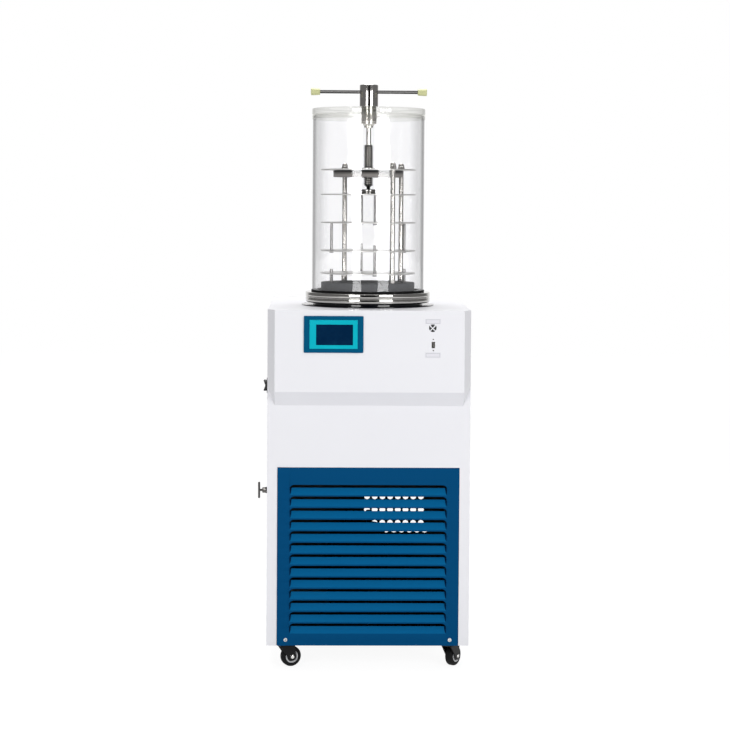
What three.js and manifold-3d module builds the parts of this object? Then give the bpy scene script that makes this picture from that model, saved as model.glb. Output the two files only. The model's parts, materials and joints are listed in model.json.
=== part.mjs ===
// A floor-standing laboratory freeze dryer with a clear chamber and a stoppering rack.
// Millimetres, +Z up. The front faces -Y. The origin is on the floor, under the middle of the
// machine's bounding box.
import * as THREE from 'three';
import { ConvexGeometry } from 'three/addons/geometries/ConvexGeometry.js';
import { mergeVertices } from 'three/addons/utils/BufferGeometryUtils.js';
import Module from 'manifold-3d';

const wasm = await Module();
wasm.setup();

// ---------------------------------------------------------------- driving dimensions

const seat = 0.3; // clearance between two pieces that rest on or in each other
const overlap = 0.4; // how far two forms of one piece run into each other before they are joined

// facets in a full turn of a round form
const wide = 24; // rings and discs of the chamber
const middling = 14; // fittings of some 20 mm radius
const narrow = 10; // rods and bosses
const tiny = 8; // small holes and hidden rods

// cabinet
const cabinetWidth = 490;
const cabinetDepth = 575;
const cabinetHeight = 815;
const sheet = 1.5; // steel sheet of every panel
const foldDepth = 20; // side folds of the front and rear panels
const lipHeight = 12; // folded lips of the side and top panels
const panHeight = 25; // rim of the base pan
const panWall = 2;
const platePad = 3; // height of the pads that the casters bolt to

// fascia: the raised cover across the top of the front
const fasciaHeight = 231.5;
const fasciaReach = 37; // how far it stands out from the front panel
const fasciaInset = 18; // front face narrower than the cabinet, each side
const fasciaBevel = 35.5; // height of the sloping underside
const fasciaFold = 116; // height of the upper face, which leans back
const fasciaLean = 4.5; // how far its top edge leans back
const fasciaCorner = 46; // height at which the lower corners start to be cut off
const fasciaWall = 2;
const serviceMargin = 45; // solid front panel on each side of and below the opening behind the fascia
const serviceTop = 35; // and above it

// blue louvred front grille
const grilleWidth = 438.5;
const grilleHeight = 432.5;
const grilleGap = 0.7; // between the grille's edge and the front panel
const grilleProud = 0.4;
const ledge = 14; // rebate of the front panel that the grille rests on
const rebateRim = 8; // rebate's overlap behind the front panel
const louvreCount = 13;
const louvreWidth = 380;
const louvrePitch = 28.1;
const louvreFirst = 41.5; // grille's top edge to the first slot
const louvreSlot = 6.5; // open slot above the free edge
const louvreStrip = 3.1; // flat sheet between one slot and the next fold
const louvreHeight = louvrePitch - louvreSlot - louvreStrip; // pressed face, fold to free edge
const louvreDepth = 8; // how far the free edge is pressed in
const louvreEnd = 5; // width of the drawn wall at each end
const louvreRadius = 9; // upper corners of the slot
const grilleScrewX = 199;
const grilleScrewZ = 14;
const grilleScrewHole = 2.6;

// controls on the fascia: places are across from the middle and up from the fold
const displayX = -86.5;
const displayZ = 58.5;
const displaySize = [141, 87];
const displayWindow = [115, 69];
const displayBody = [122, 74, 26];
const displayProud = 3;
const displayCorner = 4;
const displayLip = 0.6; // bezel's face to the screen
const screenThickness = 2;
const usbX = 152;
const usbZ = 34.3;
const usbShell = [7.6, 14.6, 14];
const usbWall = 0.7;
const usbScrewPitch = 26.3;
const usbTongue = [1.8, 2]; // thickness, and how far it is set back
const usbFlange = [12, 1.5, 3]; // width, thickness and corner radius
const usbScrewHole = 1.2;
const buzzerX = 150.4;
const buzzerZ = 76;
const buzzerRadius = 9.2;
const buzzerWeb = 2;
const buzzerDepth = 9;
const buzzerRim = 2; // mounting rim, out and back
const buzzerMouth = 1.5;

// left side: power switch and drain valve
const switchY = 60;
const switchZ = 692;
const switchSize = [22, 36];
const switchReach = 11;
const switchRim = 3; // frame's width around the rocker
const switchProud = 2.5;
const switchDepth = 22;
const switchWaist = 4; // depth of the V between the rocker's two ends
const valveY = 90;
const valveZ = 430.3;
const valveRadius = 8.5;
const valveBodyLength = 14;
const valveReach = 24.6;
const valveShank = 6; // radius of the shank through the panel
const valveTail = 26; // shank's length behind the panel
const valveNut = [10, 5];
const valveStem = 2.9;
const drainBore = 3;
const valveLever = 41;
const valveLeverThickness = 5.5;

// rear: vent, vacuum port and power inlet
const ventColumns = 8;
const ventRows = 6;
const ventPitch = 21; // from each hole to its six neighbours, rows being staggered
const ventHole = 16.5;
const ventX = 84; // middle of the vent field
const ventZ = 293;
const portX = -60;
const portZ = 560;
const portReach = 25;
const portBore = 12.5;
const portWall = 1.8;
const portFlange = 20;
const portTail = 60; // length inside the cabinet
const portCollar = 4; // rim against the panel, beyond the tube
const inletX = -170;
const inletZ = 150;
const inletFlange = [50, 28];
const inletBody = [30, 22];
const inletPlate = 3;
const inletDepth = 24;
const inletWell = 16;
const inletWall = 2;
const inletBlades = [[-7, -2], [0, 3], [7, -2]];

// refrigeration: compressor, condenser and fan
const compressorPlace = [-20, 330];
const compressorCan = [78, 250]; // radius and height
const compressorPlate = [190, 140, 4, 8]; // width, depth, thickness and height above the pan
const compressorStubs = [[30, 8], [-26, 6]];
const fanPlace = { x: 100, y: 110, z: 158 };
const fanRadius = 68;
const fanTip = 3; // blade tips to the barrel
const fanBarrel = 22; // barrel's length in front of the plate
const fanPlate = 3;
const fanArm = 10; // width of the arms that carry the motor
const motorRadius = 20;
const motorFront = 24; // motor's ends behind the plate
const motorBack = 60;
const fanHub = 17;
const bladeAngle = 28;
const condenserSize = [190, 42, 165];
const finPitch = 12;
const finGap = 7;
const finDepth = 10;

// casters
const wheelRadius = 25;
const wheelWidth = 21;
const casterRise = 16; // wheel's top to the cabinet's underside
const casterHeight = 2 * wheelRadius + casterRise; // floor to the cabinet's underside
const casterPlate = 48;
const casterTrail = 17;
const casterX = 203;
const casterFront = 62; // front panel to the front swivel axes
const casterRear = 62;
const casterAngles = { front_left: 20, front_right: 55, rear_left: -30, rear_right: 150 };
const axleRadius = 3;
const axleClearance = 0.45;
const forkGap = 1.4; // wheel's side to the fork
const forkPlate = 2.5;
const forkBoss = 10; // radius of the cheeks round the axle
const forkFront = 15; // fork's leading edge to the swivel axis
const forkHeel = 6; // axle to the fork's trailing edge, at the top
const forkCrown = 2; // wheel's top to the fork's bridge
const swivelRadii = [19, 17];

// chamber
const chamberSetback = 212; // front panel to the chamber's axis
const trapRadius = 108;
const trapDepth = 281;
const trapWall = 2;
const skirtRadius = 166;
const skirtThickness = 2;
const collarRadius = 138.5;
const collarHeight = 7.3;
const collarWall = 11.5;
const flangeRadius = 156.5;
const flangeHeight = 26;
const flangeBore = 112;
const gasketThickness = 4.5;
const gasketRadius = 142;
const tubeRadius = 140;
const tubeWall = 10;
const tubeLength = 435;
const lidGasketTop = 3;
const lidGasketSkirt = 9;
const lidGasketWall = 1.5;
const lidThickness = 14;

// stoppering rack
const rackBaseRadius = 117.5;
const rackBaseHeight = 23;
const rackBaseBore = 75;
const rackNotch = [10, 8, 6];
const shelfRadius = 119;
const shelfThickness = 3;
const shelfSpacing = [56.6, 70.2, 70.1]; // shelf 4 to 3, 3 to 2 and 2 to 1
const lowestShelf = 46; // rack base's underside to the middle of shelf 4
const topPlateSpacing = 62; // shelf 1 to the top plate
const columnRadius = 6;
const columnShoulder = 7.5;
const columnCircle = 103;
const columnAngles = [34.5, 124.5, 214.5]; // from the front, turning towards +X
const columnStud = 4;
const columnStudDepth = 12;
const columnClearance = 0.8;
const studClearance = 0.5;
const nutRadius = 7.9;
const nutHex = 9;
const hangerCircle = 93;
const hangerRadius = 3.1;
const hangerHead = 5;
const hangerHeadHeight = 4;
const hangerClearance = 0.7;
const hangerUpper = 9; // angle of the pairs between shelves 1-2 and 3-4
const hangerLower = 99; // angle of the pairs between shelves 2-3 and on the base
const pinRadius = 4;
const guideAboveShelf3 = 14;
const pinAboveShelf4 = 9;

// lead screw and handle
const threadCrest = 12;
const threadRoot = 10;
const threadPitch = 5;
const threadClearance = 0.65;
const threadSteps = 10; // facets in one turn
const blockMargin = 9; // block's rim to the columns
const blockHeight = 16.5;
const plateCollar = [18, 3.5];
const screwBelowBlock = 22;
const screwLength = 103;
const screwBore = 6.5;
const screwFloor = 6.5; // solid end under the bore
const neckRadius = 4.5;
const footRadius = 18.3;
const footHeight = 11.5;
const buttonRadius = 7.5;
const buttonHeight = 3;
const rodRadius = 6;
const rodEngagement = 66; // length of the drive rod inside the lead screw at rest
const hubRadius = 19;
const hubBelowLid = 33;
const hubNeck = 11.5;
const hubNeckHeight = 8.7;
const hubNutRadius = 20.5;
const hubNutHeight = 9;
const hubNutDrop = 15.2; // lid's underside to the hub nut, filled by a seal
const capRadius = 23.4;
const capHeight = 54.3;
const capAboveLid = 6;
const barRadius = 4.25;
const barLength = 275;
const barBelowCapTop = 17.7;
const knobLength = 23;
const knobRadii = [8, 9.25];
const knobBore = 15;

// ---------------------------------------------------------------- derived places

const cabinetBottom = casterHeight;
const cabinetTop = cabinetBottom + cabinetHeight;
const half = cabinetWidth / 2;
const fasciaBottom = cabinetTop - fasciaHeight;
const foldZ = cabinetTop - fasciaFold;
const grilleTop = cabinetBottom + grilleHeight;
const collarBottom = cabinetTop + seat;
const collarTop = collarBottom + collarHeight;
const flangeBottom = collarTop + seat;
const flangeTop = flangeBottom + flangeHeight;
const tubeBottom = flangeTop + seat + gasketThickness + seat;
const tubeTop = tubeBottom + tubeLength;
const lidBottom = tubeTop + seat + lidGasketTop + seat;
const lidTop = lidBottom + lidThickness;
const rackBottom = flangeTop + seat;
const rackBaseTop = rackBottom + rackBaseHeight;
const shelf4 = rackBottom + lowestShelf;
const shelf3 = shelf4 + shelfSpacing[0];
const shelf2 = shelf3 + shelfSpacing[1];
const shelf1 = shelf2 + shelfSpacing[2];
const halfShelf = shelfThickness / 2;
const topPlate = shelf1 + topPlateSpacing;
const blockRadius = columnCircle - columnRadius - blockMargin;
const blockTop = topPlate - halfShelf - seat;
const blockBottom = blockTop - blockHeight;
const screwBottom = blockBottom - screwBelowBlock;
const screwTop = screwBottom + screwLength;
const footBottom = shelf1 + halfShelf + seat;
const footTop = footBottom + footHeight;
const hubBottom = lidBottom - hubBelowLid;
const capBottom = lidTop + capAboveLid;
const capTop = capBottom + capHeight;
const barZ = capTop - barBelowCapTop;
const rodBottom = screwTop - rodEngagement;
const rodTop = barZ - barRadius - 2;

// ---------------------------------------------------------------- finishes

const finish = (color, roughness, metalness) =>
  new THREE.MeshStandardMaterial({ color, roughness, metalness });
const whitePaint = finish(0xeeeff2, 0.4, 0);
const bluePaint = finish(0x00507f, 0.45, 0);
const blackPlastic = finish(0x151618, 0.5, 0);
const rubber = finish(0x1b1b1c, 0.85, 0);
const steel = finish(0xb9b7b3, 0.25, 1);
const satinSteel = finish(0x8d9092, 0.4, 1);
const darkAlloy = finish(0x55595b, 0.55, 0.7);
const aluminium = finish(0xa8abad, 0.45, 1);
const displayBlue = finish(0x00547f, 0.35, 0);
const displayGlass = finish(0x12c4da, 0.15, 0);
const acrylic = finish(0xf4f6f6, 0.05, 0);
const silicone = finish(0xe6e2cf, 0.5, 0);
const knobPlastic = finish(0xcdcf96, 0.45, 0);
for (const clear of [acrylic, silicone]) {
  clear.transparent = true;
  clear.opacity = clear === acrylic ? 0.25 : 0.7;
}

// ---------------------------------------------------------------- solids

/** Turns a closed three.js geometry into a solid whose faces point outwards. */
function solid(geometry) {
  const bare = new THREE.BufferGeometry();
  bare.setAttribute('position', geometry.getAttribute('position').clone());
  if (geometry.index) bare.setIndex(geometry.index.clone());
  const merged = mergeVertices(bare, 1e-4);
  const p = merged.getAttribute('position').array;
  const tri = [];
  let volume = 0;
  const [a, b, c] = [new THREE.Vector3(), new THREE.Vector3(), new THREE.Vector3()];
  const index = merged.index.array;
  for (let i = 0; i < index.length; i += 3) {
    const [u, v, w] = [index[i], index[i + 1], index[i + 2]];
    if (u === v || v === w || w === u) continue;
    tri.push(u, v, w);
    a.fromArray(p, 3 * u);
    b.fromArray(p, 3 * v);
    c.fromArray(p, 3 * w);
    volume += a.dot(b.cross(c));
  }
  if (volume < 0) tri.reverse();
  return new wasm.Manifold(
    new wasm.Mesh({
      numProp: 3,
      vertProperties: new Float32Array(p),
      triVerts: new Uint32Array(tri),
    }),
  );
}

const asSolid = (form) => (form instanceof THREE.BufferGeometry ? solid(form) : form);
const join = (...forms) => forms.map(asSolid).reduce((sum, form) => sum.add(form));
const cut = (body, ...tools) =>
  tools.map(asSolid).reduce((rest, tool) => rest.subtract(tool), asSolid(body));

/** Turns a solid back into a three.js geometry with flat faces. */
function geometryOf(form) {
  const mesh = asSolid(form).getMesh();
  const geometry = new THREE.BufferGeometry();
  geometry.setAttribute('position', new THREE.BufferAttribute(mesh.vertProperties, 3));
  geometry.setIndex(new THREE.BufferAttribute(mesh.triVerts, 1));
  return geometry;
}

function piece(group, name, form, material) {
  const mesh = new THREE.Mesh(geometryOf(form), material);
  mesh.name = name;
  group.add(mesh);
  return mesh;
}

/** A box given by its low and high corners. */
function box(low, high) {
  const size = high.map((v, i) => v - low[i]);
  const middle = high.map((v, i) => (v + low[i]) / 2);
  return new THREE.BoxGeometry(...size).translate(...middle);
}

/** Turns a closed (radius, z) profile about the Z axis. */
function turned(profile, steps = wide) {
  const points = profile.map(([r, z]) => new THREE.Vector2(r, z));
  points.push(points[0].clone());
  return new THREE.LatheGeometry(points, steps).rotateX(Math.PI / 2);
}

const ring = (inner, outer, z0, z1, steps) =>
  turned([[inner, z0], [outer, z0], [outer, z1], [inner, z1]], steps);

/** A round bar along Z. */
function bar(radius, z0, z1, x = 0, y = 0, steps = narrow) {
  const cylinder = new THREE.CylinderGeometry(radius, radius, z1 - z0, steps);
  return cylinder.rotateX(Math.PI / 2).translate(x, y, (z0 + z1) / 2);
}

function outline(points) {
  return new THREE.Shape(points.map(([x, y]) => new THREE.Vector2(x, y)));
}

/** A rectangle with rounded corners, centred on (x, y). */
function roundedRectangle(x, y, width, height, radius, target = new THREE.Shape()) {
  const [l, r, b, t] = [x - width / 2, x + width / 2, y - height / 2, y + height / 2];
  target.moveTo(l + radius, b);
  target.lineTo(r - radius, b);
  target.absarc(r - radius, b + radius, radius, -Math.PI / 2, 0);
  target.lineTo(r, t - radius);
  target.absarc(r - radius, t - radius, radius, 0, Math.PI / 2);
  target.lineTo(l + radius, t);
  target.absarc(l + radius, t - radius, radius, Math.PI / 2, Math.PI);
  target.lineTo(l, b + radius);
  target.absarc(l + radius, b + radius, radius, Math.PI, 1.5 * Math.PI);
  target.closePath();
  return target;
}

/** Extrudes a shape drawn in X and Z from the plane y0 back to the plane y1. */
function upright(shape, y0, y1, curveSegments = 2) {
  const depth = y1 - y0;
  const form = new THREE.ExtrudeGeometry(shape, { depth, bevelEnabled: false, curveSegments });
  return form.rotateX(Math.PI / 2).translate(0, y1, 0);
}

/** Extrudes a shape drawn in Y and Z from x0 to x1. */
function sideways(shape, x0, x1, curveSegments = 2) {
  const depth = x1 - x0;
  const form = new THREE.ExtrudeGeometry(shape, { depth, bevelEnabled: false, curveSegments });
  return form.rotateX(Math.PI / 2).rotateZ(Math.PI / 2).translate(x0, 0, 0);
}

/** The place at an angle from the front, turning towards +X, on a circle about the Z axis. */
function around(radius, degrees) {
  const angle = THREE.MathUtils.degToRad(degrees);
  return [radius * Math.sin(angle), -radius * Math.cos(angle)];
}

/** A threaded bar: rows of points follow the helix, and plain planes trim both ends. */
function threaded(root, crest, z0, z1) {
  const profile = [[root, 0], [crest, 0.5]];
  const perTurn = profile.length;
  const firstTurn = Math.floor(z0 / threadPitch) - 2;
  const rows = (Math.ceil(z1 / threadPitch) + 1 - firstTurn) * perTurn;
  const positions = [];
  const faces = [];
  const id = (row, step) =>
    step === threadSteps ? id(row + perTurn, 0) : row * threadSteps + step;
  for (let row = 0; row <= rows + perTurn; row++) {
    const [radius, share] = profile[row % perTurn];
    for (let step = 0; step < threadSteps; step++) {
      const turn = step / threadSteps;
      const z = threadPitch * (firstTurn + Math.floor(row / perTurn) + share + turn);
      const angle = 2 * Math.PI * turn;
      positions.push(radius * Math.cos(angle), radius * Math.sin(angle), z);
    }
  }
  for (let row = 0; row < rows; row++) {
    for (let step = 0; step < threadSteps; step++) {
      const [a, b] = [id(row, step), id(row, step + 1)];
      const [c, d] = [id(row + 1, step + 1), id(row + 1, step)];
      faces.push(a, b, c, a, c, d);
    }
  }
  // each end is a fan from the axis round one turn of the helix and down the step that it leaves
  for (const [row, turnFan] of [[0, false], [rows, true]]) {
    const rim = [];
    for (let step = 0; step <= threadSteps; step++) rim.push(id(row, step));
    for (let k = perTurn - 1; k > 0; k--) rim.push(id(row + k, 0));
    const centre = positions.length / 3;
    const base = threadPitch * (firstTurn + row / perTurn + 0.5);
    positions.push(0, 0, base + (turnFan ? threadPitch : -threadPitch));
    rim.forEach((from, i) => {
      const to = rim[(i + 1) % rim.length];
      faces.push(...(turnFan ? [from, to, centre] : [to, from, centre]));
    });
  }
  const geometry = new THREE.BufferGeometry();
  geometry.setAttribute('position', new THREE.Float32BufferAttribute(positions, 3));
  geometry.setIndex(faces);
  return solid(geometry).intersect(solid(bar(crest + 1, z0, z1, 0, 0, tiny)));
}

// ---------------------------------------------------------------- cabinet

function makeBasePan(group) {
  const inner = sheet + seat;
  const front = sheet * 2 + seat + 0.2;
  const [x, y0, y1] = [half - inner, front, cabinetDepth - sheet - seat];
  const [z0, z1] = [cabinetBottom, cabinetBottom + panHeight];
  const tray = cut(
    box([-x, y0, z0], [x, y1, z1]),
    box([-x + panWall, y0 + panWall, z0 + panWall], [x - panWall, y1 - panWall, z1 + 1]),
  );
  const plates = casterPlaces().map(({ x: cx, y: cy }) => {
    const r = casterPlate / 2;
    return box([cx - r, cy - r, z0 - platePad], [cx + r, cy + r, z0 + overlap]);
  });
  const foldRoom = [-1, 1].flatMap((side) =>
    [0, cabinetDepth].map((y) => {
      const [x0, x1] = [side * half, side * (half - sheet - 2 * seat)].sort((a, b) => a - b);
      return box([x0, y - foldDepth - 1, z0 - 1], [x1, y + foldDepth + 1, z1 + 1]);
    }),
  );
  piece(group, 'base_pan', cut(join(tray, ...plates), ...foldRoom), satinSteel);
}

function makeFrontPanel(group) {
  const top = cabinetTop - sheet - seat;
  const [gw, gt] = [grilleWidth / 2 + grilleGap, grilleTop + grilleGap];
  const face = outline([
    [-half, cabinetBottom], [-gw, cabinetBottom], [-gw, gt], [gw, gt],
    [gw, cabinetBottom], [half, cabinetBottom], [half, top], [-half, top],
  ]);
  const window = [fasciaBottom + serviceMargin, cabinetTop - serviceTop];
  const opening = new THREE.Path();
  const middle = (window[0] + window[1]) / 2;
  const across = cabinetWidth - 2 * serviceMargin;
  roundedRectangle(0, middle, across, window[1] - window[0], 10, opening);
  face.holes.push(opening);
  const [fw, ft] = [gw + rebateRim, gt + rebateRim];
  const frame = outline([[-fw, cabinetBottom], [fw, cabinetBottom], [fw, ft], [-fw, ft]]);
  const inner = new THREE.Path();
  const [iw, ib] = [2 * (gw - ledge), cabinetBottom + ledge];
  roundedRectangle(0, (ib + gt - ledge) / 2, iw, gt - ledge - ib, 3, inner);
  frame.holes.push(inner);
  const folds = [-1, 1].map((side) => {
    const [x0, x1] = [side * half, side * (half - sheet)].sort((a, b) => a - b);
    return box([x0, sheet - overlap, cabinetBottom], [x1, foldDepth, top]);
  });
  const rebate = upright(frame, sheet - 0.1, 2 * sheet);
  piece(group, 'front_panel', join(upright(face, 0, sheet), rebate, ...folds), whitePaint);
}

/** One pressed louvre: a sheet surface that dips in towards its free upper edge. */
function louvre(z0, faceY) {
  const w = louvreWidth / 2;
  const ends = [0, 1];
  const across = [[-w - 2, 0], ...ends.map((t) => [-w + t * louvreEnd, t])];
  const columns = [...across, ...across.map(([x, e]) => [-x, e]).reverse()];
  const levels = [[-2, 0], [0, 0], [louvreHeight, 1]];
  const positions = [];
  const faces = [];
  for (const back of [0, 1]) {
    for (const [up, share] of levels) {
      for (const [x, end] of columns) {
        const dip = louvreDepth * share * end;
        const skin = back ? sheet - 0.1 : 0.1;
        positions.push(x, faceY + dip + skin, z0 + up);
      }
    }
  }
  const [m, n] = [levels.length, columns.length];
  const id = (back, i, j) => (back * m + i) * n + j;
  const quad = (a, b, c, d) => faces.push(a, b, c, a, c, d);
  for (let i = 0; i < m - 1; i++) {
    for (let j = 0; j < n - 1; j++) {
      quad(id(0, i, j), id(0, i, j + 1), id(0, i + 1, j + 1), id(0, i + 1, j));
      quad(id(1, i, j), id(1, i + 1, j), id(1, i + 1, j + 1), id(1, i, j + 1));
    }
    quad(id(0, i, 0), id(0, i + 1, 0), id(1, i + 1, 0), id(1, i, 0));
    quad(id(0, i, n - 1), id(1, i, n - 1), id(1, i + 1, n - 1), id(0, i + 1, n - 1));
  }
  for (let j = 0; j < n - 1; j++) {
    quad(id(0, 0, j), id(1, 0, j), id(1, 0, j + 1), id(0, 0, j + 1));
    quad(id(0, m - 1, j), id(0, m - 1, j + 1), id(1, m - 1, j + 1), id(1, m - 1, j));
  }
  const geometry = new THREE.BufferGeometry();
  geometry.setAttribute('position', new THREE.Float32BufferAttribute(positions, 3));
  geometry.setIndex(faces);
  return geometry;
}

function makeGrille(group) {
  const [w, y0] = [grilleWidth / 2, -grilleProud];
  const plate = outline([
    [-w, cabinetBottom], [w, cabinetBottom], [w, grilleTop], [-w, grilleTop],
  ]);
  const folds = [];
  for (let i = 0; i < louvreCount; i++) {
    const slotTop = grilleTop - louvreFirst - i * louvrePitch;
    const z0 = slotTop - louvreHeight - louvreSlot;
    const [x, r] = [louvreWidth / 2, louvreRadius];
    const slot = new THREE.Path();
    slot.moveTo(-x, z0);
    slot.lineTo(x, z0);
    slot.lineTo(x, slotTop - r);
    slot.absarc(x - r, slotTop - r, r, 0, Math.PI / 2);
    slot.lineTo(r - x, slotTop);
    slot.absarc(r - x, slotTop - r, r, Math.PI / 2, Math.PI);
    slot.closePath();
    plate.holes.push(slot);
    folds.push(louvre(z0, y0));
  }
  for (const x of [-grilleScrewX, grilleScrewX]) {
    const hole = new THREE.Path();
    hole.absarc(x, cabinetBottom + grilleScrewZ, grilleScrewHole, 0, 2 * Math.PI);
    plate.holes.push(hole);
  }
  piece(group, 'louvre_panel', join(upright(plate, y0, y0 + sheet), ...folds), bluePaint);
}

function makeSidePanel(group, name, side, ...holes) {
  const top = cabinetTop - sheet - seat;
  const [y0, y1] = [foldDepth + seat, cabinetDepth - foldDepth - seat];
  const across = (from, to) => [side * (half - from), side * (half - to)].sort((a, b) => a - b);
  const [x0, x1] = across(0, sheet);
  const [l0, l1] = across(sheet - overlap, lipHeight);
  const panel = join(
    box([x0, y0, cabinetBottom], [x1, y1, top]),
    box([l0, y0, cabinetBottom + 30], [l1, y0 + sheet, top - 20]),
    box([l0, y1 - sheet, cabinetBottom + 30], [l1, y1, top - 20]),
  );
  piece(group, name, cut(panel, ...holes), whitePaint);
}

function makeTopPanel(group) {
  const [z0, z1] = [cabinetTop - sheet, cabinetTop];
  const inset = sheet + seat + 0.5;
  const plate = box([-half, 0, z0], [half, cabinetDepth, z1]);
  const lips = cut(
    box([-half + inset, inset, z0 - lipHeight], [half - inset, cabinetDepth - inset, z0 + 0.4]),
    box(
      [-half + inset + sheet, inset + sheet, z0 - lipHeight - 1],
      [half - inset - sheet, cabinetDepth - inset - sheet, z1 + 1],
    ),
  );
  const mouth = bar(trapRadius + 3, z0 - 1, z1 + 1, 0, chamberSetback, wide);
  piece(group, 'top_panel', cut(join(plate, lips), mouth), whitePaint);
}

function makeRearPanel(group) {
  const top = cabinetTop - sheet - seat;
  const [y0, y1] = [cabinetDepth - sheet, cabinetDepth];
  const folds = [-1, 1].map((side) => {
    const [x0, x1] = [side * half, side * (half - sheet)].sort((a, b) => a - b);
    return box([x0, cabinetDepth - foldDepth, cabinetBottom], [x1, y0 + overlap, top]);
  });
  const holes = [];
  const rowPitch = (ventPitch * Math.sqrt(3)) / 2;
  for (let j = 0; j < ventRows; j++) {
    const stagger = ((j + 1) % 2) * (ventPitch / 2);
    for (let i = 0; i < ventColumns; i++) {
      const x = ventX + stagger + (i - (ventColumns - 1) / 2) * ventPitch;
      const z = ventZ + (j - (ventRows - 1) / 2) * rowPitch;
      const drill = bar(ventHole / 2, -2, 2, 0, 0, tiny).rotateX(Math.PI / 2);
      holes.push(drill.translate(x, (y0 + y1) / 2, z));
    }
  }
  const port = bar(portBore + portWall + seat, -2, 2, 0, 0, middling).rotateX(Math.PI / 2);
  const inlet = roundedRectangle(inletX, inletZ, inletBody[0] + 1, inletBody[1] + 1, 2);
  holes.push(port.translate(portX, y1, portZ), upright(inlet, y0 - 1, y1 + 1));
  const panel = join(box([-half, y0, cabinetBottom], [half, y1, top]), ...folds);
  piece(group, 'rear_panel', cut(panel, ...holes), whitePaint);
}

/** The fascia's convex form, or the same form shrunk by a wall thickness. */
function fasciaForm(wall) {
  const back = wall ? seat : -seat;
  const w = half - seat - wall;
  const face = half - fasciaInset - wall;
  const front = -fasciaReach + wall;
  const [bottom, top] = [fasciaBottom + wall, cabinetTop - wall];
  const points = [];
  for (const side of [-1, 1]) {
    points.push(
      [side * w, back, top], [side * w, back, fasciaBottom + fasciaCorner],
      [side * face, back, bottom], [side * face, front, fasciaBottom + fasciaBevel],
      [side * face, front, foldZ], [side * face, front + fasciaLean, top],
    );
  }
  return new ConvexGeometry(points.map((p) => new THREE.Vector3(...p)));
}

function makeFascia(group, upperFace) {
  const wallTop = fasciaWall + 1;
  const place = (geometry) => geometry.applyMatrix4(upperFace.matrix);
  const display = place(upright(
    roundedRectangle(displayX, displayZ, displayBody[0] + 1, displayBody[1] + 1, 2),
    -1, wallTop,
  ));
  const [uw, uh] = usbShell;
  const usb = place(box(
    [usbX - uw / 2 - seat, -1, usbZ - uh / 2 - seat],
    [usbX + uw / 2 + seat, wallTop, usbZ + uh / 2 + seat],
  ));
  const sectors = [0, 90, 180, 270].map((turn) => {
    const shape = new THREE.Shape();
    const edge = Math.asin(buzzerWeb / 2 / buzzerRadius);
    shape.moveTo(buzzerWeb / Math.SQRT2, 0);
    shape.absarc(0, 0, buzzerRadius, -Math.PI / 4 + edge, Math.PI / 4 - edge);
    shape.closePath();
    const sector = upright(shape, -1, wallTop, 3);
    return place(sector.rotateY(THREE.MathUtils.degToRad(turn)).translate(buzzerX, 0, buzzerZ));
  });
  const shell = cut(fasciaForm(0), fasciaForm(fasciaWall), display, usb, ...sectors);
  piece(group, 'fascia', shell, whitePaint);
}

// ---------------------------------------------------------------- controls

function makeDisplay(face) {
  const [w, h] = displaySize;
  const [bw, bh, depth] = displayBody;
  const rim = roundedRectangle(displayX, displayZ, w, h, displayCorner);
  const window = roundedRectangle(displayX, displayZ, ...displayWindow, 1);
  const body = roundedRectangle(displayX, displayZ, bw - 2, bh - 2, 1.5);
  const back = -displayProud + displayLip + screenThickness + seat;
  const bezel = cut(
    join(upright(rim, -displayProud - seat, -seat), upright(body, -seat - overlap, depth)),
    upright(window, -displayProud - 1, back),
  );
  piece(face, 'hmi_bezel', bezel, displayBlue);
  const [ww, wh] = displayWindow.map((size) => size - 2 * seat);
  const glass = roundedRectangle(displayX, displayZ, ww, wh, 0.8);
  const front = back - seat - screenThickness;
  piece(face, 'hmi_screen', upright(glass, front, front + screenThickness), displayGlass);
}

function makeUsbSocket(face) {
  const [w, h, depth] = usbShell;
  const behind = fasciaWall + seat;
  const shell = box([usbX - w / 2, 0, usbZ - h / 2], [usbX + w / 2, depth, usbZ + h / 2]);
  const cavity = box(
    [usbX - w / 2 + usbWall, -1, usbZ - h / 2 + usbWall],
    [usbX + w / 2 - usbWall, depth - usbWall, usbZ + h / 2 - usbWall],
  );
  const [thick, recess] = usbTongue;
  const tongue = box(
    [usbX + overlap, recess, usbZ - h / 2 + recess],
    [usbX + overlap + thick, depth - usbWall / 2, usbZ + h / 2 - recess],
  );
  const [flangeWidth, flangeThickness, corner] = usbFlange;
  const plate = roundedRectangle(usbX, usbZ, flangeWidth, usbScrewPitch + 8, corner);
  const shellRoom = usbWall / 2; // the flange is welded to the shell's outer half
  const flange = cut(
    upright(plate, behind, behind + flangeThickness),
    box([usbX - w / 2 + shellRoom, behind - 1, usbZ - h / 2 + shellRoom],
      [usbX + w / 2 - shellRoom, behind + flangeThickness + 1, usbZ + h / 2 - shellRoom]),
    ...[-1, 1].map((side) => bar(usbScrewHole, -8, 8, 0, 0, tiny).rotateX(Math.PI / 2)
      .translate(usbX, behind, usbZ + (side * usbScrewPitch) / 2)),
  );
  piece(face, 'usb_socket', join(cut(shell, cavity), tongue, flange), satinSteel);
}

function makeBuzzer(face) {
  const y0 = fasciaWall + seat;
  const rim = buzzerRadius + buzzerRim;
  const can = turned([
    [0, -y0], [rim, -y0], [rim, -y0 - buzzerRim], [buzzerRadius, -y0 - buzzerRim],
    [buzzerRadius - 1, -y0 - buzzerDepth], [0, -y0 - buzzerDepth],
  ], narrow);
  const mouth = bar(buzzerMouth, -y0 - 2, 1, 0, 0, tiny);
  piece(face, 'buzzer', cut(can, mouth), blackPlastic)
    .geometry.rotateX(Math.PI / 2).translate(buzzerX, 0, buzzerZ);
}

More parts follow.
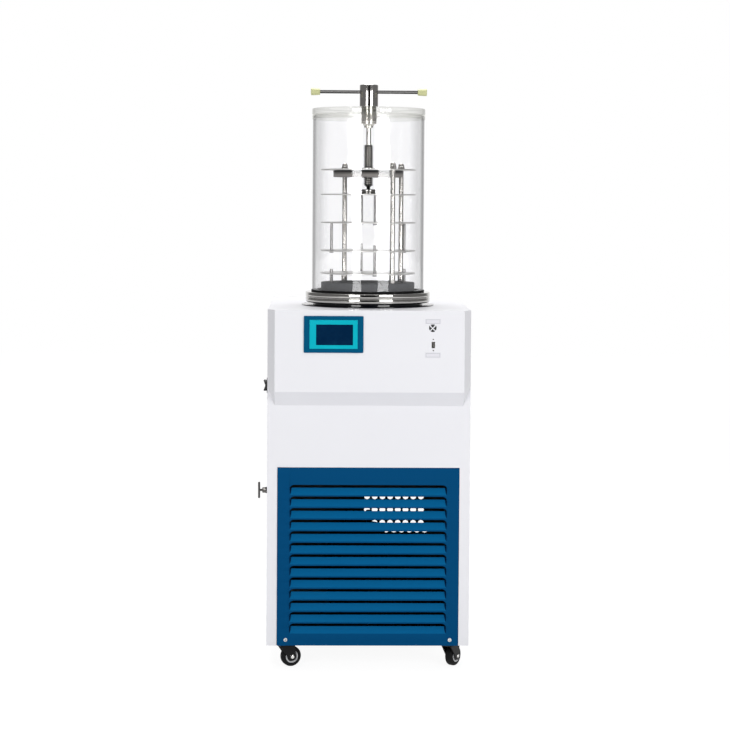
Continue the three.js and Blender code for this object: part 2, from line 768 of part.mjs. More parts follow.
function makeSwitch(group) {
  const [w, h] = switchSize;
  const [bw, bh] = [w - 2 * switchRim, h - 2 * switchRim];
  const x0 = -half - seat;
  const [y0, y1] = [switchY - bw / 2, switchY + bw / 2];
  const [z0, z1] = [switchZ - bh / 2, switchZ + bh / 2];
  const rim = cut(
    sideways(roundedRectangle(switchY, switchZ, w, h, 2), x0 - switchProud, x0),
    box([x0 - switchProud - 1, y0, z0], [x0 + 1, y1, z1]),
  );
  const well = cut(
    box([x0 - overlap, y0 - 1, z0 - 1], [x0 + switchDepth, y1 + 1, z1 + 1]),
    box([x0 - switchProud - 1, y0, z0], [x0 + switchDepth - 2, y1, z1]),
  );
  piece(group, 'switch_bezel', join(rim, well), blackPlastic);

  const tip = -half - switchReach;
  const [rw, rh, edge] = [bw / 2 - 0.8, bh / 2 - 1.6, 1.5];
  // a shallow V with rounded ends, thick in the middle where its pivot is
  const rocker = outline([
    [tip, switchZ + rh - edge], [tip + edge, switchZ + rh], [x0 + 3, switchZ + rh - 1],
    [x0 + 7, switchZ + 5], [x0 + 7, switchZ - 5], [x0 + 3, switchZ - rh + 1],
    [tip + edge, switchZ - rh], [tip, switchZ - rh + edge], [tip + switchWaist, switchZ - edge],
    [tip + switchWaist, switchZ + edge],
  ]);
  piece(group, 'switch_rocker', upright(rocker, switchY - rw, switchY + rw), blackPlastic);
}

function makeDrainValve(group) {
  const turnToX = (form) => form.rotateY(-Math.PI / 2).translate(-half, valveY, valveZ);
  const neck = valveRadius - 1.5;
  const hexHeight = 6;
  const hex = turned([[0, seat], [valveRadius, seat], [valveRadius, hexHeight], [0, hexHeight]], 6);
  const body = join(
    hex,
    turned([
      [0, hexHeight - overlap], [neck, hexHeight - overlap], [neck, valveBodyLength - 1],
      [neck - 1, valveBodyLength], [0, valveBodyLength],
    ], narrow),
    bar(valveShank, -valveTail, 1),
  );
  const [nutWidth, nutHeight] = valveNut;
  const nutFace = -sheet - seat;
  const nut = turned([
    [valveShank - 1, nutFace - nutHeight], [nutWidth, nutFace - nutHeight], [nutWidth, nutFace],
    [valveShank - 1, nutFace],
  ], 6);
  const stemRoom = valveStem + 0.4;
  const socket = bar(stemRoom, valveBodyLength - 7, valveBodyLength + 1, 0, 0, tiny);
  const drain = bar(drainBore, -valveTail - 1, valveBodyLength - 9, 0, 0, tiny);
  const valve = geometryOf(cut(join(body, nut), socket, drain));
  piece(group, 'drain_valve_body', turnToX(valve), satinSteel);
  const t = valveLeverThickness / 2;
  const lever = new THREE.CapsuleGeometry(t, valveLever - 2 * t, 3, tiny)
    .rotateZ(Math.PI / 2).translate(0, 0, valveReach - t);
  const stem = bar(valveStem, valveBodyLength - 6.5, valveReach - t, 0, 0, tiny);
  piece(group, 'drain_valve_handle', turnToX(geometryOf(join(lever, stem))), satinSteel);
}

function makeVacuumPort(group) {
  const outer = portBore + portWall;
  const rim = outer + portCollar;
  const port = turned([
    [portBore, -portTail], [outer, -portTail], [outer, seat], [rim, seat], [rim, seat + 3],
    [outer, seat + 3], [outer, portReach - 6], [portFlange, portReach - 3],
    [portFlange, portReach], [portBore, portReach],
  ], middling);
  const turnedBack = port.rotateX(-Math.PI / 2).translate(portX, cabinetDepth, portZ);
  piece(group, 'vacuum_port', turnedBack, steel);
}

function makePowerInlet(group) {
  const y = cabinetDepth + seat;
  const flange = upright(roundedRectangle(inletX, inletZ, ...inletFlange, 3), y, y + inletPlate);
  const body = upright(
    roundedRectangle(inletX, inletZ, ...inletBody, 2), y - inletDepth, y + overlap,
  );
  const [w, h] = inletBody.map((size) => size - 2 * inletWall);
  const floor = y - inletWell;
  const well = upright(roundedRectangle(inletX, inletZ, w, h, 2), floor, y + inletPlate + 1);
  const blades = inletBlades.map(([dx, dz]) => {
    const [x, z] = [inletX + dx, inletZ + dz];
    return box([x - 1, floor - overlap, z - 2], [x + 1, y - 2, z + 2]);
  });
  piece(group, 'power_inlet', join(cut(join(flange, body), well), ...blades), blackPlastic);
}

// ---------------------------------------------------------------- cold side and fan

function makeColdTrap(chamber) {
  const rimTop = collarTop;
  const bottom = cabinetTop - trapDepth;
  const [r, w] = [trapRadius, trapWall];
  const rim = collarRadius - collarWall - 4 * seat;
  const rimBottom = cabinetTop + seat;
  const vessel = turned([
    [rim, rimBottom], [rim, rimTop], [r - w, rimTop], [r - w, bottom + 22], [r - 14, bottom + 8],
    [5, bottom], [5, bottom - 16], [7, bottom - 16], [7, bottom - w],
    [r - 12, bottom + 6], [r, bottom + 20], [r, rimBottom],
  ], wide);
  piece(chamber, 'cold_trap', vessel, steel);
}

function makeCompressor(group) {
  const [x, y] = compressorPlace;
  const [r, h] = compressorCan;
  const z = cabinetBottom + panWall + seat;
  const [plateWidth, plateDepth, plateThickness, plateZ] = compressorPlate;
  const can = turned([
    [0, z + plateZ + 1], [r - 12, z + 14], [r, z + 48], [r, z + 110], [r + 3, z + 114],
    [r, z + h - 44], [r - 16, z + h - 14], [0, z + h],
  ], middling);
  const outlineShape = roundedRectangle(0, 0, plateWidth, plateDepth, 18);
  const base = new THREE.ExtrudeGeometry(outlineShape, {
    depth: plateThickness, bevelEnabled: false, curveSegments: 2,
  }).translate(0, 0, z + plateZ);
  const [footX, footY] = [plateWidth / 2 - 17, plateDepth / 2 - 17];
  const feet = [-1, 1].flatMap((sx) => [-1, 1].map((sy) =>
    bar(11, z, z + plateZ + overlap, sx * footX, sy * footY, tiny)));
  const stubs = compressorStubs.map(([sx, radius]) =>
    bar(radius, z + h - 22, z + h + 23, sx, 0, tiny));
  const whole = geometryOf(join(can, base, ...feet, ...stubs)).translate(x, y, 0);
  piece(group, 'compressor', whole, blackPlastic);
}

function makeCondenser(group) {
  const [w, d, h] = condenserSize;
  const z0 = cabinetBottom + panWall + seat;
  const y1 = fanPlace.y - seat;
  const block = box([-w / 2, y1 - d, z0], [w / 2, y1, z0 + h]);
  const grooves = [];
  for (let x = -w / 2 + finPitch; x < w / 2 - finPitch - 2; x += finPitch) {
    grooves.push(box([x, y1 - d - 1, z0 + 8], [x + finGap, y1 - d + finDepth, z0 + h - 8]));
  }
  const core = geometryOf(cut(block, ...grooves)).translate(fanPlace.x, 0, 0);
  piece(group, 'condenser', core, aluminium);
}

function makeFan(group) {
  const { x, y, z } = fanPlace;
  const [w, , h] = condenserSize;
  const z0 = cabinetBottom + panWall + seat;
  const barrelInner = fanRadius + fanTip;
  const barrelOuter = barrelInner + 2;
  const alongY = (radius, y0, y1, steps) => bar(radius, y0, y1, 0, 0, steps).rotateX(Math.PI / 2);
  const plate = cut(
    box([x - w / 2, y, z0], [x + w / 2, y + fanPlate, z0 + h]),
    alongY(barrelInner, -10, 10, middling).translate(x, y, z),
  );
  const barrel = ring(barrelInner, barrelOuter, -fanBarrel, 0, middling);
  barrel.rotateX(Math.PI / 2).translate(x, y + 1, z);
  const armBack = y + motorFront + 3;
  const around120 = (low, high) => [0, 120, 240].map((turn) =>
    box(low, high).rotateY(THREE.MathUtils.degToRad(turn)).translate(x, 0, z));
  const arms = around120([-fanArm / 2, y + motorFront, 0], [fanArm / 2, armBack, barrelInner + 1]);
  const lugs = around120(
    [-fanArm / 2, y + fanBarrel - 7, barrelInner - 0.5], [fanArm / 2, armBack, barrelOuter],
  );
  const motor = alongY(motorRadius, -motorBack, -motorFront).translate(x, y, z);
  const shaft = alongY(axleRadius, -motorFront - 1, -12, tiny).translate(x, y, z);
  const shroud = join(plate, barrel, ...arms, ...lugs, motor, shaft);
  piece(group, 'fan_shroud', shroud, satinSteel);

  const hub = alongY(fanHub, -motorFront + 3, -6);
  const blades = [0, 1, 2, 3, 4].map((i) =>
    new THREE.BoxGeometry(26, 1.6, fanRadius - fanHub + 3)
      .rotateZ(THREE.MathUtils.degToRad(bladeAngle))
      .translate(0, 13.5, (fanRadius + fanHub - 7) / 2)
      .rotateY((2 * Math.PI * i) / 5));
  const bore = alongY(axleRadius + axleClearance, -motorFront, -11, tiny);
  const rotor = piece(group, 'fan_rotor', cut(join(hub, ...blades), bore), blackPlastic);
  rotor.position.set(x, y, z);
}

// ---------------------------------------------------------------- chamber

function makeChamberBase(chamber) {
  const [inner, top] = [collarRadius - collarWall, collarBottom + skirtThickness];
  piece(chamber, 'chamber_collar', turned([
    [inner, collarBottom], [skirtRadius, collarBottom], [skirtRadius, top],
    [collarRadius, top], [collarRadius, collarTop], [inner, collarTop],
  ]), blackPlastic);

  const [r, z0, z1] = [flangeRadius, flangeBottom, flangeTop];
  const seam = (z0 + z1) / 2;
  piece(chamber, 'chamber_flange', turned([
    [flangeBore, z0], [r, z0], [r, seam - 1.2], [r - 1.4, seam], [r, seam + 1.2],
    [r, z1 - 1], [r - 1, z1], [flangeBore, z1],
  ]), steel);

  const gasketInner = tubeRadius - tubeWall - 3;
  const low = flangeTop + seat;
  piece(chamber, 'base_gasket', ring(gasketInner, gasketRadius, low, low + gasketThickness), rubber);
}

function makeTubeAndLid(chamber) {
  const [r, w] = [tubeRadius, tubeWall];
  piece(chamber, 'chamber_tube', turned([
    [r - w, tubeBottom], [r, tubeBottom], [r, tubeTop], [r - w, tubeTop],
  ]), acrylic);

  const outer = r + seat + lidGasketWall;
  const under = tubeTop + seat;
  const foot = tubeTop - lidGasketSkirt;
  piece(chamber, 'lid_gasket', turned([
    [r - w - 2, under], [r + seat, under], [r + seat, foot], [outer, foot],
    [outer, under + lidGasketTop], [r - w - 2, under + lidGasketTop],
  ]), silicone);

  const bore = hubRadius + seat;
  piece(chamber, 'lid_plate', turned([
    [bore, lidBottom], [outer, lidBottom], [outer, lidTop - 1], [outer - 1, lidTop],
    [bore, lidTop],
  ]), acrylic);
}

// ---------------------------------------------------------------- stoppering rack

function rods(radius, z0, z1, angle, steps = tiny) {
  return [angle, angle + 180].map((turn) => bar(radius, z0, z1, ...around(hangerCircle, turn), steps));
}

function makeRackFrame(chamber) {
  const holes = columnAngles.map((turn) =>
    bar(columnStud + studClearance, rackBaseTop - columnStudDepth - 1, rackBaseTop + 1,
      ...around(columnCircle, turn), tiny));
  const disc = turned([
    [rackBaseBore, rackBottom], [rackBaseRadius, rackBottom],
    [rackBaseRadius, rackBaseTop - 1], [rackBaseRadius - 1, rackBaseTop],
    [rackBaseBore, rackBaseTop],
  ]);
  const [nw, nh, nd] = rackNotch;
  const notch = box([-nw / 2, -rackBaseRadius - 1, rackBottom - 1],
    [nw / 2, -rackBaseRadius + nd, rackBottom + nh])
    .rotateZ(THREE.MathUtils.degToRad(columnAngles[0]));
  const pins = rods(pinRadius, rackBaseTop - overlap, shelf4 + halfShelf + pinAboveShelf4,
    hangerLower);
  const rackBase = join(cut(disc, notch, ...holes), ...pins);
  piece(chamber, 'rack_base', rackBase, darkAlloy);

  const under = topPlate - halfShelf;
  const over = topPlate + halfShelf;
  columnAngles.forEach((turn, i) => {
    const [x, y] = around(columnCircle, turn);
    const [foot, shoulder] = [rackBaseTop + seat, shelf4 - halfShelf - seat];
    const letter = 'abc'[i];
    const column = turned([
      [0, rackBaseTop - columnStudDepth], [columnStud, rackBaseTop - columnStudDepth],
      [columnStud, foot], [columnShoulder, foot], [columnShoulder, shoulder],
      [columnRadius, shoulder], [columnRadius, under - seat], [columnStud, under - seat],
      [columnStud, over + nutHex], [0, over + nutHex],
    ], narrow);
    piece(chamber, `column_${letter}`, column, steel).position.set(x, y, 0);

    const base = over + seat;
    const hex = turned([[0, base], [nutRadius + 0.6, base], [nutRadius + 0.6, base + 6],
      [nutRadius - 0.6, base + 7], [0, base + 7]], 6);
    const r = nutRadius - 0.4;
    const arc = [1, 2].map((k) => (k * Math.PI) / 6);
    const dome = turned([[0, base + 6], [r, base + 6], [r, base + nutHex],
      ...arc.map((t) => [r * Math.cos(t), base + nutHex + 8 * Math.sin(t)]),
      [0, base + nutHex + 8]], tiny);
    const bore = bar(columnStud + studClearance, base - 1, over + nutHex + 1);
    piece(chamber, `column_nut_${letter}`, cut(join(hex, dome), bore), steel)
      .position.set(x, y, 0);
  });

  const studs = columnAngles.map((turn) =>
    bar(columnStud + studClearance, under - 1, over + 1, ...around(columnCircle, turn)));
  const [collar, rise] = plateCollar;
  const plate = join(bar(shelfRadius, under, over, 0, 0, wide),
    bar(collar, over - overlap, over + rise, 0, 0, middling));
  const through = bar(threadCrest + 1, under - 1, over + rise + 1, 0, 0, middling);
  piece(chamber, 'rack_top_plate', cut(plate, through, ...studs), steel);

  const block = turned([
    [0, blockBottom], [blockRadius, blockBottom], [blockRadius, blockTop], [0, blockTop],
  ]);
  const thread = threaded(threadRoot + threadClearance, threadCrest + threadClearance,
    blockBottom - 1, blockTop + 1);
  piece(chamber, 'screw_block', cut(block, thread), satinSteel);
}

function makeShelf(chamber, number, z, hangers, slots) {
  const disc = bar(shelfRadius, z - halfShelf, z + halfShelf, 0, 0, wide);
  const columns = columnAngles.map((turn) =>
    bar(columnRadius + columnClearance, z - 5, z + 5, ...around(columnCircle, turn), tiny));
  const holes = slots.flatMap(([radius, angle]) =>
    rods(radius + hangerClearance, z - 5, z + 5, angle));
  const whole = join(cut(disc, ...columns, ...holes), ...hangers.flat());
  return piece(chamber, `shelf_${number}`, whole, steel);
}

/** A pair of rods riveted under one shelf, whose heads carry the shelf below. */
function hangerPair(from, to, angle) {
  const headTop = to - halfShelf - seat;
  return [
    ...rods(hangerRadius, headTop - 0.5, from - halfShelf + overlap, angle),
    ...rods(hangerHead, headTop - hangerHeadHeight, headTop, angle, 6),
  ];
}

function makeShelves(chamber) {
  const guides = [
    ...rods(hangerRadius, shelf4 + halfShelf - overlap, shelf3 + halfShelf + guideAboveShelf3,
      hangerUpper),
    ...rods(hangerHead, shelf4 - halfShelf - hangerHeadHeight, shelf4 - halfShelf + overlap,
      hangerUpper, 6),
  ];
  makeShelf(chamber, 1, shelf1, [hangerPair(shelf1, shelf2, hangerUpper)], []);
  makeShelf(chamber, 2, shelf2, [hangerPair(shelf2, shelf3, hangerLower)],
    [[hangerRadius, hangerUpper]]);
  makeShelf(chamber, 3, shelf3, [], [[hangerRadius, hangerUpper], [hangerRadius, hangerLower]]);
  makeShelf(chamber, 4, shelf4, [guides], [[pinRadius, hangerLower]]);
}

function makeScrewAndFoot(chamber) {
  const cavity = { top: footTop - 4, bottom: footTop - 4 - buttonHeight - 2 * seat };
  const [neckHole, buttonHole] = [neckRadius + 1.5 * seat, buttonRadius + 2 * seat];
  const foot = turned([
    [0, footBottom], [footRadius - 1, footBottom], [footRadius, footBottom + 1],
    [footRadius, footTop], [neckHole, footTop],
    [neckHole, cavity.top], [buttonHole, cavity.top], [buttonHole, cavity.bottom],
    [0, cavity.bottom],
  ], middling);
  piece(chamber, 'press_foot', foot, satinSteel);

  const buttonTop = cavity.top - seat;
  const end = turned([
    [0, buttonTop - buttonHeight], [buttonRadius, buttonTop - buttonHeight],
    [buttonRadius, buttonTop], [neckRadius, buttonTop], [neckRadius, screwBottom - 3],
    [threadRoot - 0.5, screwBottom + 1.5], [0, screwBottom + 1.5],
  ], narrow);
  const screw = cut(
    join(threaded(threadRoot, threadCrest, screwBottom, screwTop), end),
    bar(screwBore, screwBottom + screwFloor, screwTop + 1),
  );
  piece(chamber, 'lead_screw', screw, satinSteel);
}

// ---------------------------------------------------------------- hub and handle

function makeHub(chamber) {
  const bore = rodRadius + axleClearance;
  const neckTop = hubBottom + hubNeckHeight;
  const boss = turned([
    [bore, hubBottom], [hubNeck, hubBottom], [hubNeck + 3, neckTop], [hubRadius, neckTop],
    [hubRadius, capBottom - seat], [bore, capBottom - seat],
  ], middling);
  piece(chamber, 'hub_boss', boss, steel);
  const nutTop = lidBottom - hubNutDrop;
  const inner = hubRadius + seat;
  piece(chamber, 'hub_nut', turned([
    [inner, nutTop - hubNutHeight], [hubNutRadius + 1, nutTop - hubNutHeight],
    [hubNutRadius + 1.8, nutTop - hubNutHeight + 1.2], [hubNutRadius + 1.8, nutTop],
    [hubNutRadius, nutTop], [hubNutRadius, lidBottom - seat], [inner, lidBottom - seat],
  ], middling), satinSteel);
}

function makeHandle(chamber) {
  const along = (form) => form.rotateY(Math.PI / 2).translate(0, 0, barZ);
  const profile = [
    [0, capBottom], [capRadius - 0.8, capBottom], [capRadius, capBottom + 0.8],
    [capRadius, capTop - 1.5], [capRadius - 1.5, capTop], [0, capTop],
  ];
  const rodHole = bar(rodRadius + seat, capBottom - 1, rodTop + seat);
  const crossHole = along(bar(barRadius + seat, -capRadius - 1, capRadius + 1));
  piece(chamber, 'handle_cap', cut(turned(profile, wide), rodHole, crossHole), steel);
  piece(chamber, 'drive_rod', bar(rodRadius, rodBottom, rodTop), steel);

  const reach = barLength / 2;
  piece(chamber, 't_bar', along(bar(barRadius, -reach, reach)), steel);
  const inner = reach - knobBore;
  const [thin, thick] = knobRadii;
  for (const [name, side] of [['knob_left', -1], ['knob_right', 1]]) {
    const knob = turned([
      [barRadius + seat, inner], [thin, inner], [thin + 0.4, inner + 2],
      [thick, inner + knobLength - 2], [thick - 2, inner + knobLength], [0, inner + knobLength],
      [0, reach + seat], [barRadius + seat, reach + seat],
    ], narrow).rotateY((side * Math.PI) / 2).translate(0, 0, barZ);
    piece(chamber, name, knob, knobPlastic);
  }
}

// ---------------------------------------------------------------- casters

function casterPlaces() {
  const [front, rear] = [casterFront, cabinetDepth - casterRear];
  return [
    { name: 'front_left', x: -casterX, y: front }, { name: 'front_right', x: casterX, y: front },
    { name: 'rear_left', x: -casterX, y: rear }, { name: 'rear_right', x: casterX, y: rear },
  ];
}

/** A swivel fork in its own frame: swivel on Z, wheel trailing towards +X, axle along Y. */
function forkForm() {
  const top = casterHeight - platePad - seat;
  const inner = wheelWidth / 2 + forkGap;
  const outer = inner + forkPlate;
  const crown = 2 * wheelRadius + forkCrown;
  const [low, high] = swivelRadii;
  const housing = turned([[0, crown], [low, crown], [high, top], [0, top]], narrow);
  const heel = casterTrail + forkHeel;
  const bridge = box([-forkFront, -outer, crown], [heel, outer, crown + forkPlate + 0.5]);
  const cheek = new THREE.Shape();
  cheek.moveTo(-forkFront, crown + 2);
  cheek.absarc(casterTrail, wheelRadius, forkBoss, 1.2 * Math.PI, 2.05 * Math.PI);
  cheek.lineTo(heel, crown + 2);
  cheek.closePath();
  const cheeks = [[-outer, -inner], [inner, outer]].map(([y0, y1]) => upright(cheek, y0, y1));
  const axle = bar(axleRadius, -outer - 1, outer + 1, 0, 0, tiny)
    .rotateX(Math.PI / 2).translate(casterTrail, 0, wheelRadius);
  return join(housing, bridge, ...cheeks, axle);
}

/** A wheel about the Y axis, dished towards its hub and tapered to its tread. */
function wheelForm() {
  const [w, r] = [wheelWidth / 2, wheelRadius];
  const bore = axleRadius + axleClearance;
  const side = [[bore, w - 2], [r - 6, w], [r, w - 4]];
  const mirrored = side.map(([radius, z]) => [radius, -z]).reverse();
  return turned([...side, ...mirrored], middling).rotateX(Math.PI / 2);
}

function makeCasters(machine) {
  for (const { name, x, y } of casterPlaces()) {
    const swivel = new THREE.Group();
    swivel.position.set(x, y, 0);
    swivel.rotation.z = THREE.MathUtils.degToRad(casterAngles[name]);
    piece(swivel, `fork_${name}`, forkForm(), blackPlastic);
    piece(swivel, `wheel_${name}`, wheelForm(), rubber).position.set(casterTrail, 0, wheelRadius);
    machine.add(swivel);
  }
}

// ---------------------------------------------------------------- assembly

const freezeDryer = new THREE.Group();
const machine = new THREE.Group();
machine.position.set(
  valveReach / 2, (fasciaReach + displayProud - cabinetDepth - portReach) / 2, 0,
);
freezeDryer.add(machine);

const upperFace = new THREE.Group(); // X across, Z up the face, Y into the cabinet
upperFace.position.set(0, -fasciaReach, foldZ);
upperFace.rotation.x = -Math.atan2(fasciaLean, fasciaFold);
upperFace.updateMatrix();
machine.add(upperFace);

const chamber = new THREE.Group(); // Z is the chamber's axis
chamber.position.set(0, chamberSetback, 0);
machine.add(chamber);

makeBasePan(machine);
makeFrontPanel(machine);
makeGrille(machine);
makeSidePanel(machine, 'left_side_panel', -1,
  sideways(roundedRectangle(switchY, switchZ, switchSize[0] - 3, switchSize[1] - 3, 1.5),
    -half - 1, -half + 4),
  bar(6 + seat, -half - 1, -half + 4, 0, 0, 20).rotateY(Math.PI / 2).translate(0, valveY, valveZ));
makeSidePanel(machine, 'right_side_panel', 1);
makeRearPanel(machine);
makeTopPanel(machine);
makeFascia(machine, upperFace);
makeDisplay(upperFace);
makeUsbSocket(upperFace);
makeBuzzer(upperFace);
makeSwitch(machine);
makeDrainValve(machine);
makeVacuumPort(machine);
makePowerInlet(machine);
makeColdTrap(chamber);
makeCompressor(machine);
makeCondenser(machine);
makeFan(machine);
makeChamberBase(chamber);
makeTubeAndLid(chamber);
makeRackFrame(chamber);
makeShelves(chamber);
makeScrewAndFoot(chamber);
makeHub(chamber);
makeHandle(chamber);
makeCasters(machine);

export default freezeDryer;
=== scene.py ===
# %% [markdown]
# # A laboratory freeze dryer
# The machine is a white steel cabinet on casters with a blue louvred grille, and a clear
# chamber on top of it. In the chamber a rack of steel shelves is squeezed together by a
# screw, which a handle on the lid turns, to push the stoppers into the vials.
# The engineering model gives every place and size. This lesson makes its surfaces look
# real: smooth turned metal, pressed sheet steel, clear acrylic, and the light of a studio.

import json
import math
from functools import partialmethod

import bmesh
import bpy
import numpy as np
from mathutils import Matrix, Vector
from mathutils.geometry import delaunay_2d_cdt


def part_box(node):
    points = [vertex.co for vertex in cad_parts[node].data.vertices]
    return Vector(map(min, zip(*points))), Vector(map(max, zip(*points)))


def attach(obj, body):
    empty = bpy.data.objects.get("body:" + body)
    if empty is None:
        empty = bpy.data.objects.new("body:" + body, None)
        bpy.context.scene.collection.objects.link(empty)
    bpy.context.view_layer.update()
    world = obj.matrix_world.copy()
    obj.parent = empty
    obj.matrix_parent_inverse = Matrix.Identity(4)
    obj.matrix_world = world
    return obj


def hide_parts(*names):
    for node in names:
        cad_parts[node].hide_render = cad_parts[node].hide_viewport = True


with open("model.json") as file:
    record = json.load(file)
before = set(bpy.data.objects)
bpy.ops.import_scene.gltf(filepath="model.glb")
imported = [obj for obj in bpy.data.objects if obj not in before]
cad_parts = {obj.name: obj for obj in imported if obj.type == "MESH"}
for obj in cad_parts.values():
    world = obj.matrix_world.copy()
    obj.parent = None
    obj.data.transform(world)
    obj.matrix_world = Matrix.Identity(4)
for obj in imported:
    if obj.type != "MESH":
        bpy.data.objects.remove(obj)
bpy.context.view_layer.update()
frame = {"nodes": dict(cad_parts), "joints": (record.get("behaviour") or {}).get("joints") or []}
nodes = frame["nodes"]
MM = 0.001


def place(node):
    """The lowest and highest corner of an engineering node, as one array in metres."""
    return np.array(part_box(node))


def middle(node):
    """The middle of a node's box."""
    return place(node).mean(axis=0)


AXIS = middle("chamber_tube")[:2] / MM

# %% [markdown]
# ## Camera
# A long lens, almost level with the cabinet's top, looks at the machine from a little to
# the left of its middle. The frame is shifted down, so that the casters are in the picture
# while the lens stays level and upright edges stay nearly parallel.

# %% The camera
left_side, front_face = place("left_side_panel")[0][0], place("front_panel")[0][1]
right_side, rear_face = place("right_side_panel")[1][0], place("rear_panel")[1][1]
cabinet_top = place("top_panel")[1][2]
MIDDLE = np.array([(left_side + right_side) / 2, front_face, 0.0])

eye = MIDDLE + np.array([-111.3, -4485.5, 1143.4]) * MM
turn, dip, tilt = 0.0222, 0.0392, 0.0064  # radians to the right, down and over
ahead = Vector((math.sin(turn) * math.cos(dip), math.cos(turn) * math.cos(dip), -math.sin(dip)))
across = Vector((math.cos(turn), -math.sin(turn), 0.0))
upward = across.cross(ahead)
right = across * math.cos(tilt) + upward * math.sin(tilt)
up = upward * math.cos(tilt) - across * math.sin(tilt)
lens = bpy.data.cameras.new("long_lens")
lens.sensor_width = 36.0
lens.lens = 92.13
lens.shift_y = -0.125
lens.clip_end = 60.0
camera = bpy.data.objects.new("camera", lens)
pose = Matrix((right, up, -ahead)).transposed().to_4x4()
pose.translation = Vector(eye)
camera.matrix_world = pose
bpy.context.scene.collection.objects.link(camera)
bpy.context.scene.camera = camera
print("camera at", [round(v, 3) for v in eye])

# %% [markdown]
# ## Shader arithmetic
# Finishes need small sums on patterns: a noise times a strength, one minus a mask. This
# class wraps a socket, so that such a sum can be written as plain Python.


# %% A class for shader sums
class Signal:
    """A shader socket. Operators on it add Math nodes to its tree."""

    def __init__(self, tree, socket):
        self.tree = tree
        self.socket = socket

    def _node(self, operation, values, clamp=False):
        node = self.tree.nodes.new("ShaderNodeMath")
        node.operation = operation
        node.use_clamp = clamp
        for place_in, value in zip(node.inputs, values):
            if isinstance(value, Signal):
                self.tree.links.new(value.socket, place_in)
            else:
                place_in.default_value = value
        return Signal(self.tree, node.outputs[0])

    def math(self, operation, *others, clamp=False):
        return self._node(operation, (self, *others), clamp)

    def __rsub__(self, value):
        return self._node("SUBTRACT", (value, self))

    __add__ = __radd__ = partialmethod(math, "ADD")
    __mul__ = __rmul__ = partialmethod(math, "MULTIPLY")
    __sub__ = partialmethod(math, "SUBTRACT")
    __truediv__ = partialmethod(math, "DIVIDE")
    __pow__ = partialmethod(math, "POWER")
    __gt__ = partialmethod(math, "GREATER_THAN")
    __lt__ = partialmethod(math, "LESS_THAN")
    __abs__ = partialmethod(math, "ABSOLUTE")

    def ramp(self, low, high):
        """0 below low, 1 above high, and a straight slope between them."""
        return ((self - low) / (high - low)).math("ADD", 0.0, clamp=True)


class Shader:
    """One finish: a material's node tree, with short ways to add nodes to it."""

    def __init__(self, name):
        self.material = bpy.data.materials.new(name)
        self.material.use_nodes = True
        self.tree = self.material.node_tree
        self.tree.nodes.clear()

    def add(self, kind, settings=None, **values):
        """A node of that kind. Its settings come first, then its sockets' values."""
        node = self.tree.nodes.new("ShaderNode" + kind)
        for key, value in (settings or {}).items():
            setattr(node, key, value)
        for key, value in values.items():
            self.put(node, key.replace("_", " "), value)
        return node

    def put(self, node, name, value):
        socket = name if not isinstance(name, str) else next(
            s for s in node.inputs if s.name == name and s.enabled)
        if isinstance(value, Signal):
            self.tree.links.new(value.socket, socket)
        elif isinstance(value, bpy.types.NodeSocket):
            self.tree.links.new(value, socket)
        else:
            socket.default_value = value

    def signal(self, node, output=0):
        return Signal(self.tree, node.outputs[output])

    def coordinates(self):
        return self.add("TexCoord").outputs["Object"]

    def parts(self, vector):
        """A vector's x, y and z."""
        split = self.add("SeparateXYZ", Vector=vector)
        return [self.signal(split, i) for i in range(3)]

    def axes(self):
        """The object's own x, y and z."""
        return self.parts(self.coordinates())

    def normal(self):
        """The surface's normal as x, y and z."""
        return self.parts(self.add("NewGeometry").outputs["Normal"])

    def from_axis(self):
        """The distance from the chamber's axis, in metres."""
        x, y, _ = self.axes()
        x, y = x - float(AXIS[0] * MM), y - float(AXIS[1] * MM)
        return (x * x + y * y) ** 0.5

    def noise(self, scale, detail=2.0, roughness=0.5, stretch=None):
        """Noise from 0 to 1 with that many cells in a metre, stretched along the axes."""
        where = self.coordinates()
        if stretch:
            mapping = self.add("Mapping", Vector=where, Scale=stretch)
            where = mapping.outputs[0]
        node = self.add("TexNoise", Vector=where, Scale=scale, Detail=detail,
                        Roughness=roughness)
        return self.signal(node)

    def blend(self, share, first, second):
        """Goes from the first colour to the second as share goes from 0 to 1."""
        node = self.add("Mix", {"data_type": "RGBA"})
        self.put(node, node.inputs[0], share)
        for socket, colour in ((node.inputs[6], first), (node.inputs[7], second)):
            self.put(node, socket, colour if isinstance(colour, bpy.types.NodeSocket)
                     else (*colour, 1.0))
        return node.outputs[2]

    def mottled(self, share, colour, drift):
        """A colour that is darker by the drift where the share is 0."""
        return self.blend(share, tuple(c * (1 - drift) for c in colour), colour)

    def mixed(self, share, first, second):
        """A Mix Shader that goes from the first shader node to the second."""
        node = self.add("MixShader")
        for socket, value in zip(node.inputs, (share, first.outputs[0], second.outputs[0])):
            self.put(node, socket, value)
        return node

    def bump(self, height, distance, strength):
        return self.add("Bump", Height=height, Distance=distance, Strength=strength).outputs[0]

    def surface(self, shader_socket):
        out = self.add("OutputMaterial")
        self.tree.links.new(shader_socket, out.inputs["Surface"])
        return self.material

    def principled(self, **values):
        """Ends the tree with a Principled surface of these values."""
        return self.surface(self.add("BsdfPrincipled", **values).outputs[0])


def srgb(red, green, blue):
    """A colour as it is on a screen, 0 to 255, as the shader's linear values."""
    value = np.array([red, green, blue]) / 255
    linear = np.where(value <= 0.04045, value / 12.92, ((value + 0.055) / 1.055) ** 2.4)
    return tuple(float(v) for v in linear)


# %% [markdown]
# ## Finishes
# Powder coat is a plain colour with a fine orange peel that breaks up its gloss. Polished
# and brushed steel differ in their roughness and in the direction of their fine lines.
# Plastic and rubber are rougher, with a faint grain.


# %% Paints, metals and plastics
SKIN = 0.0008  # inner faces lie at least this deep, in metres


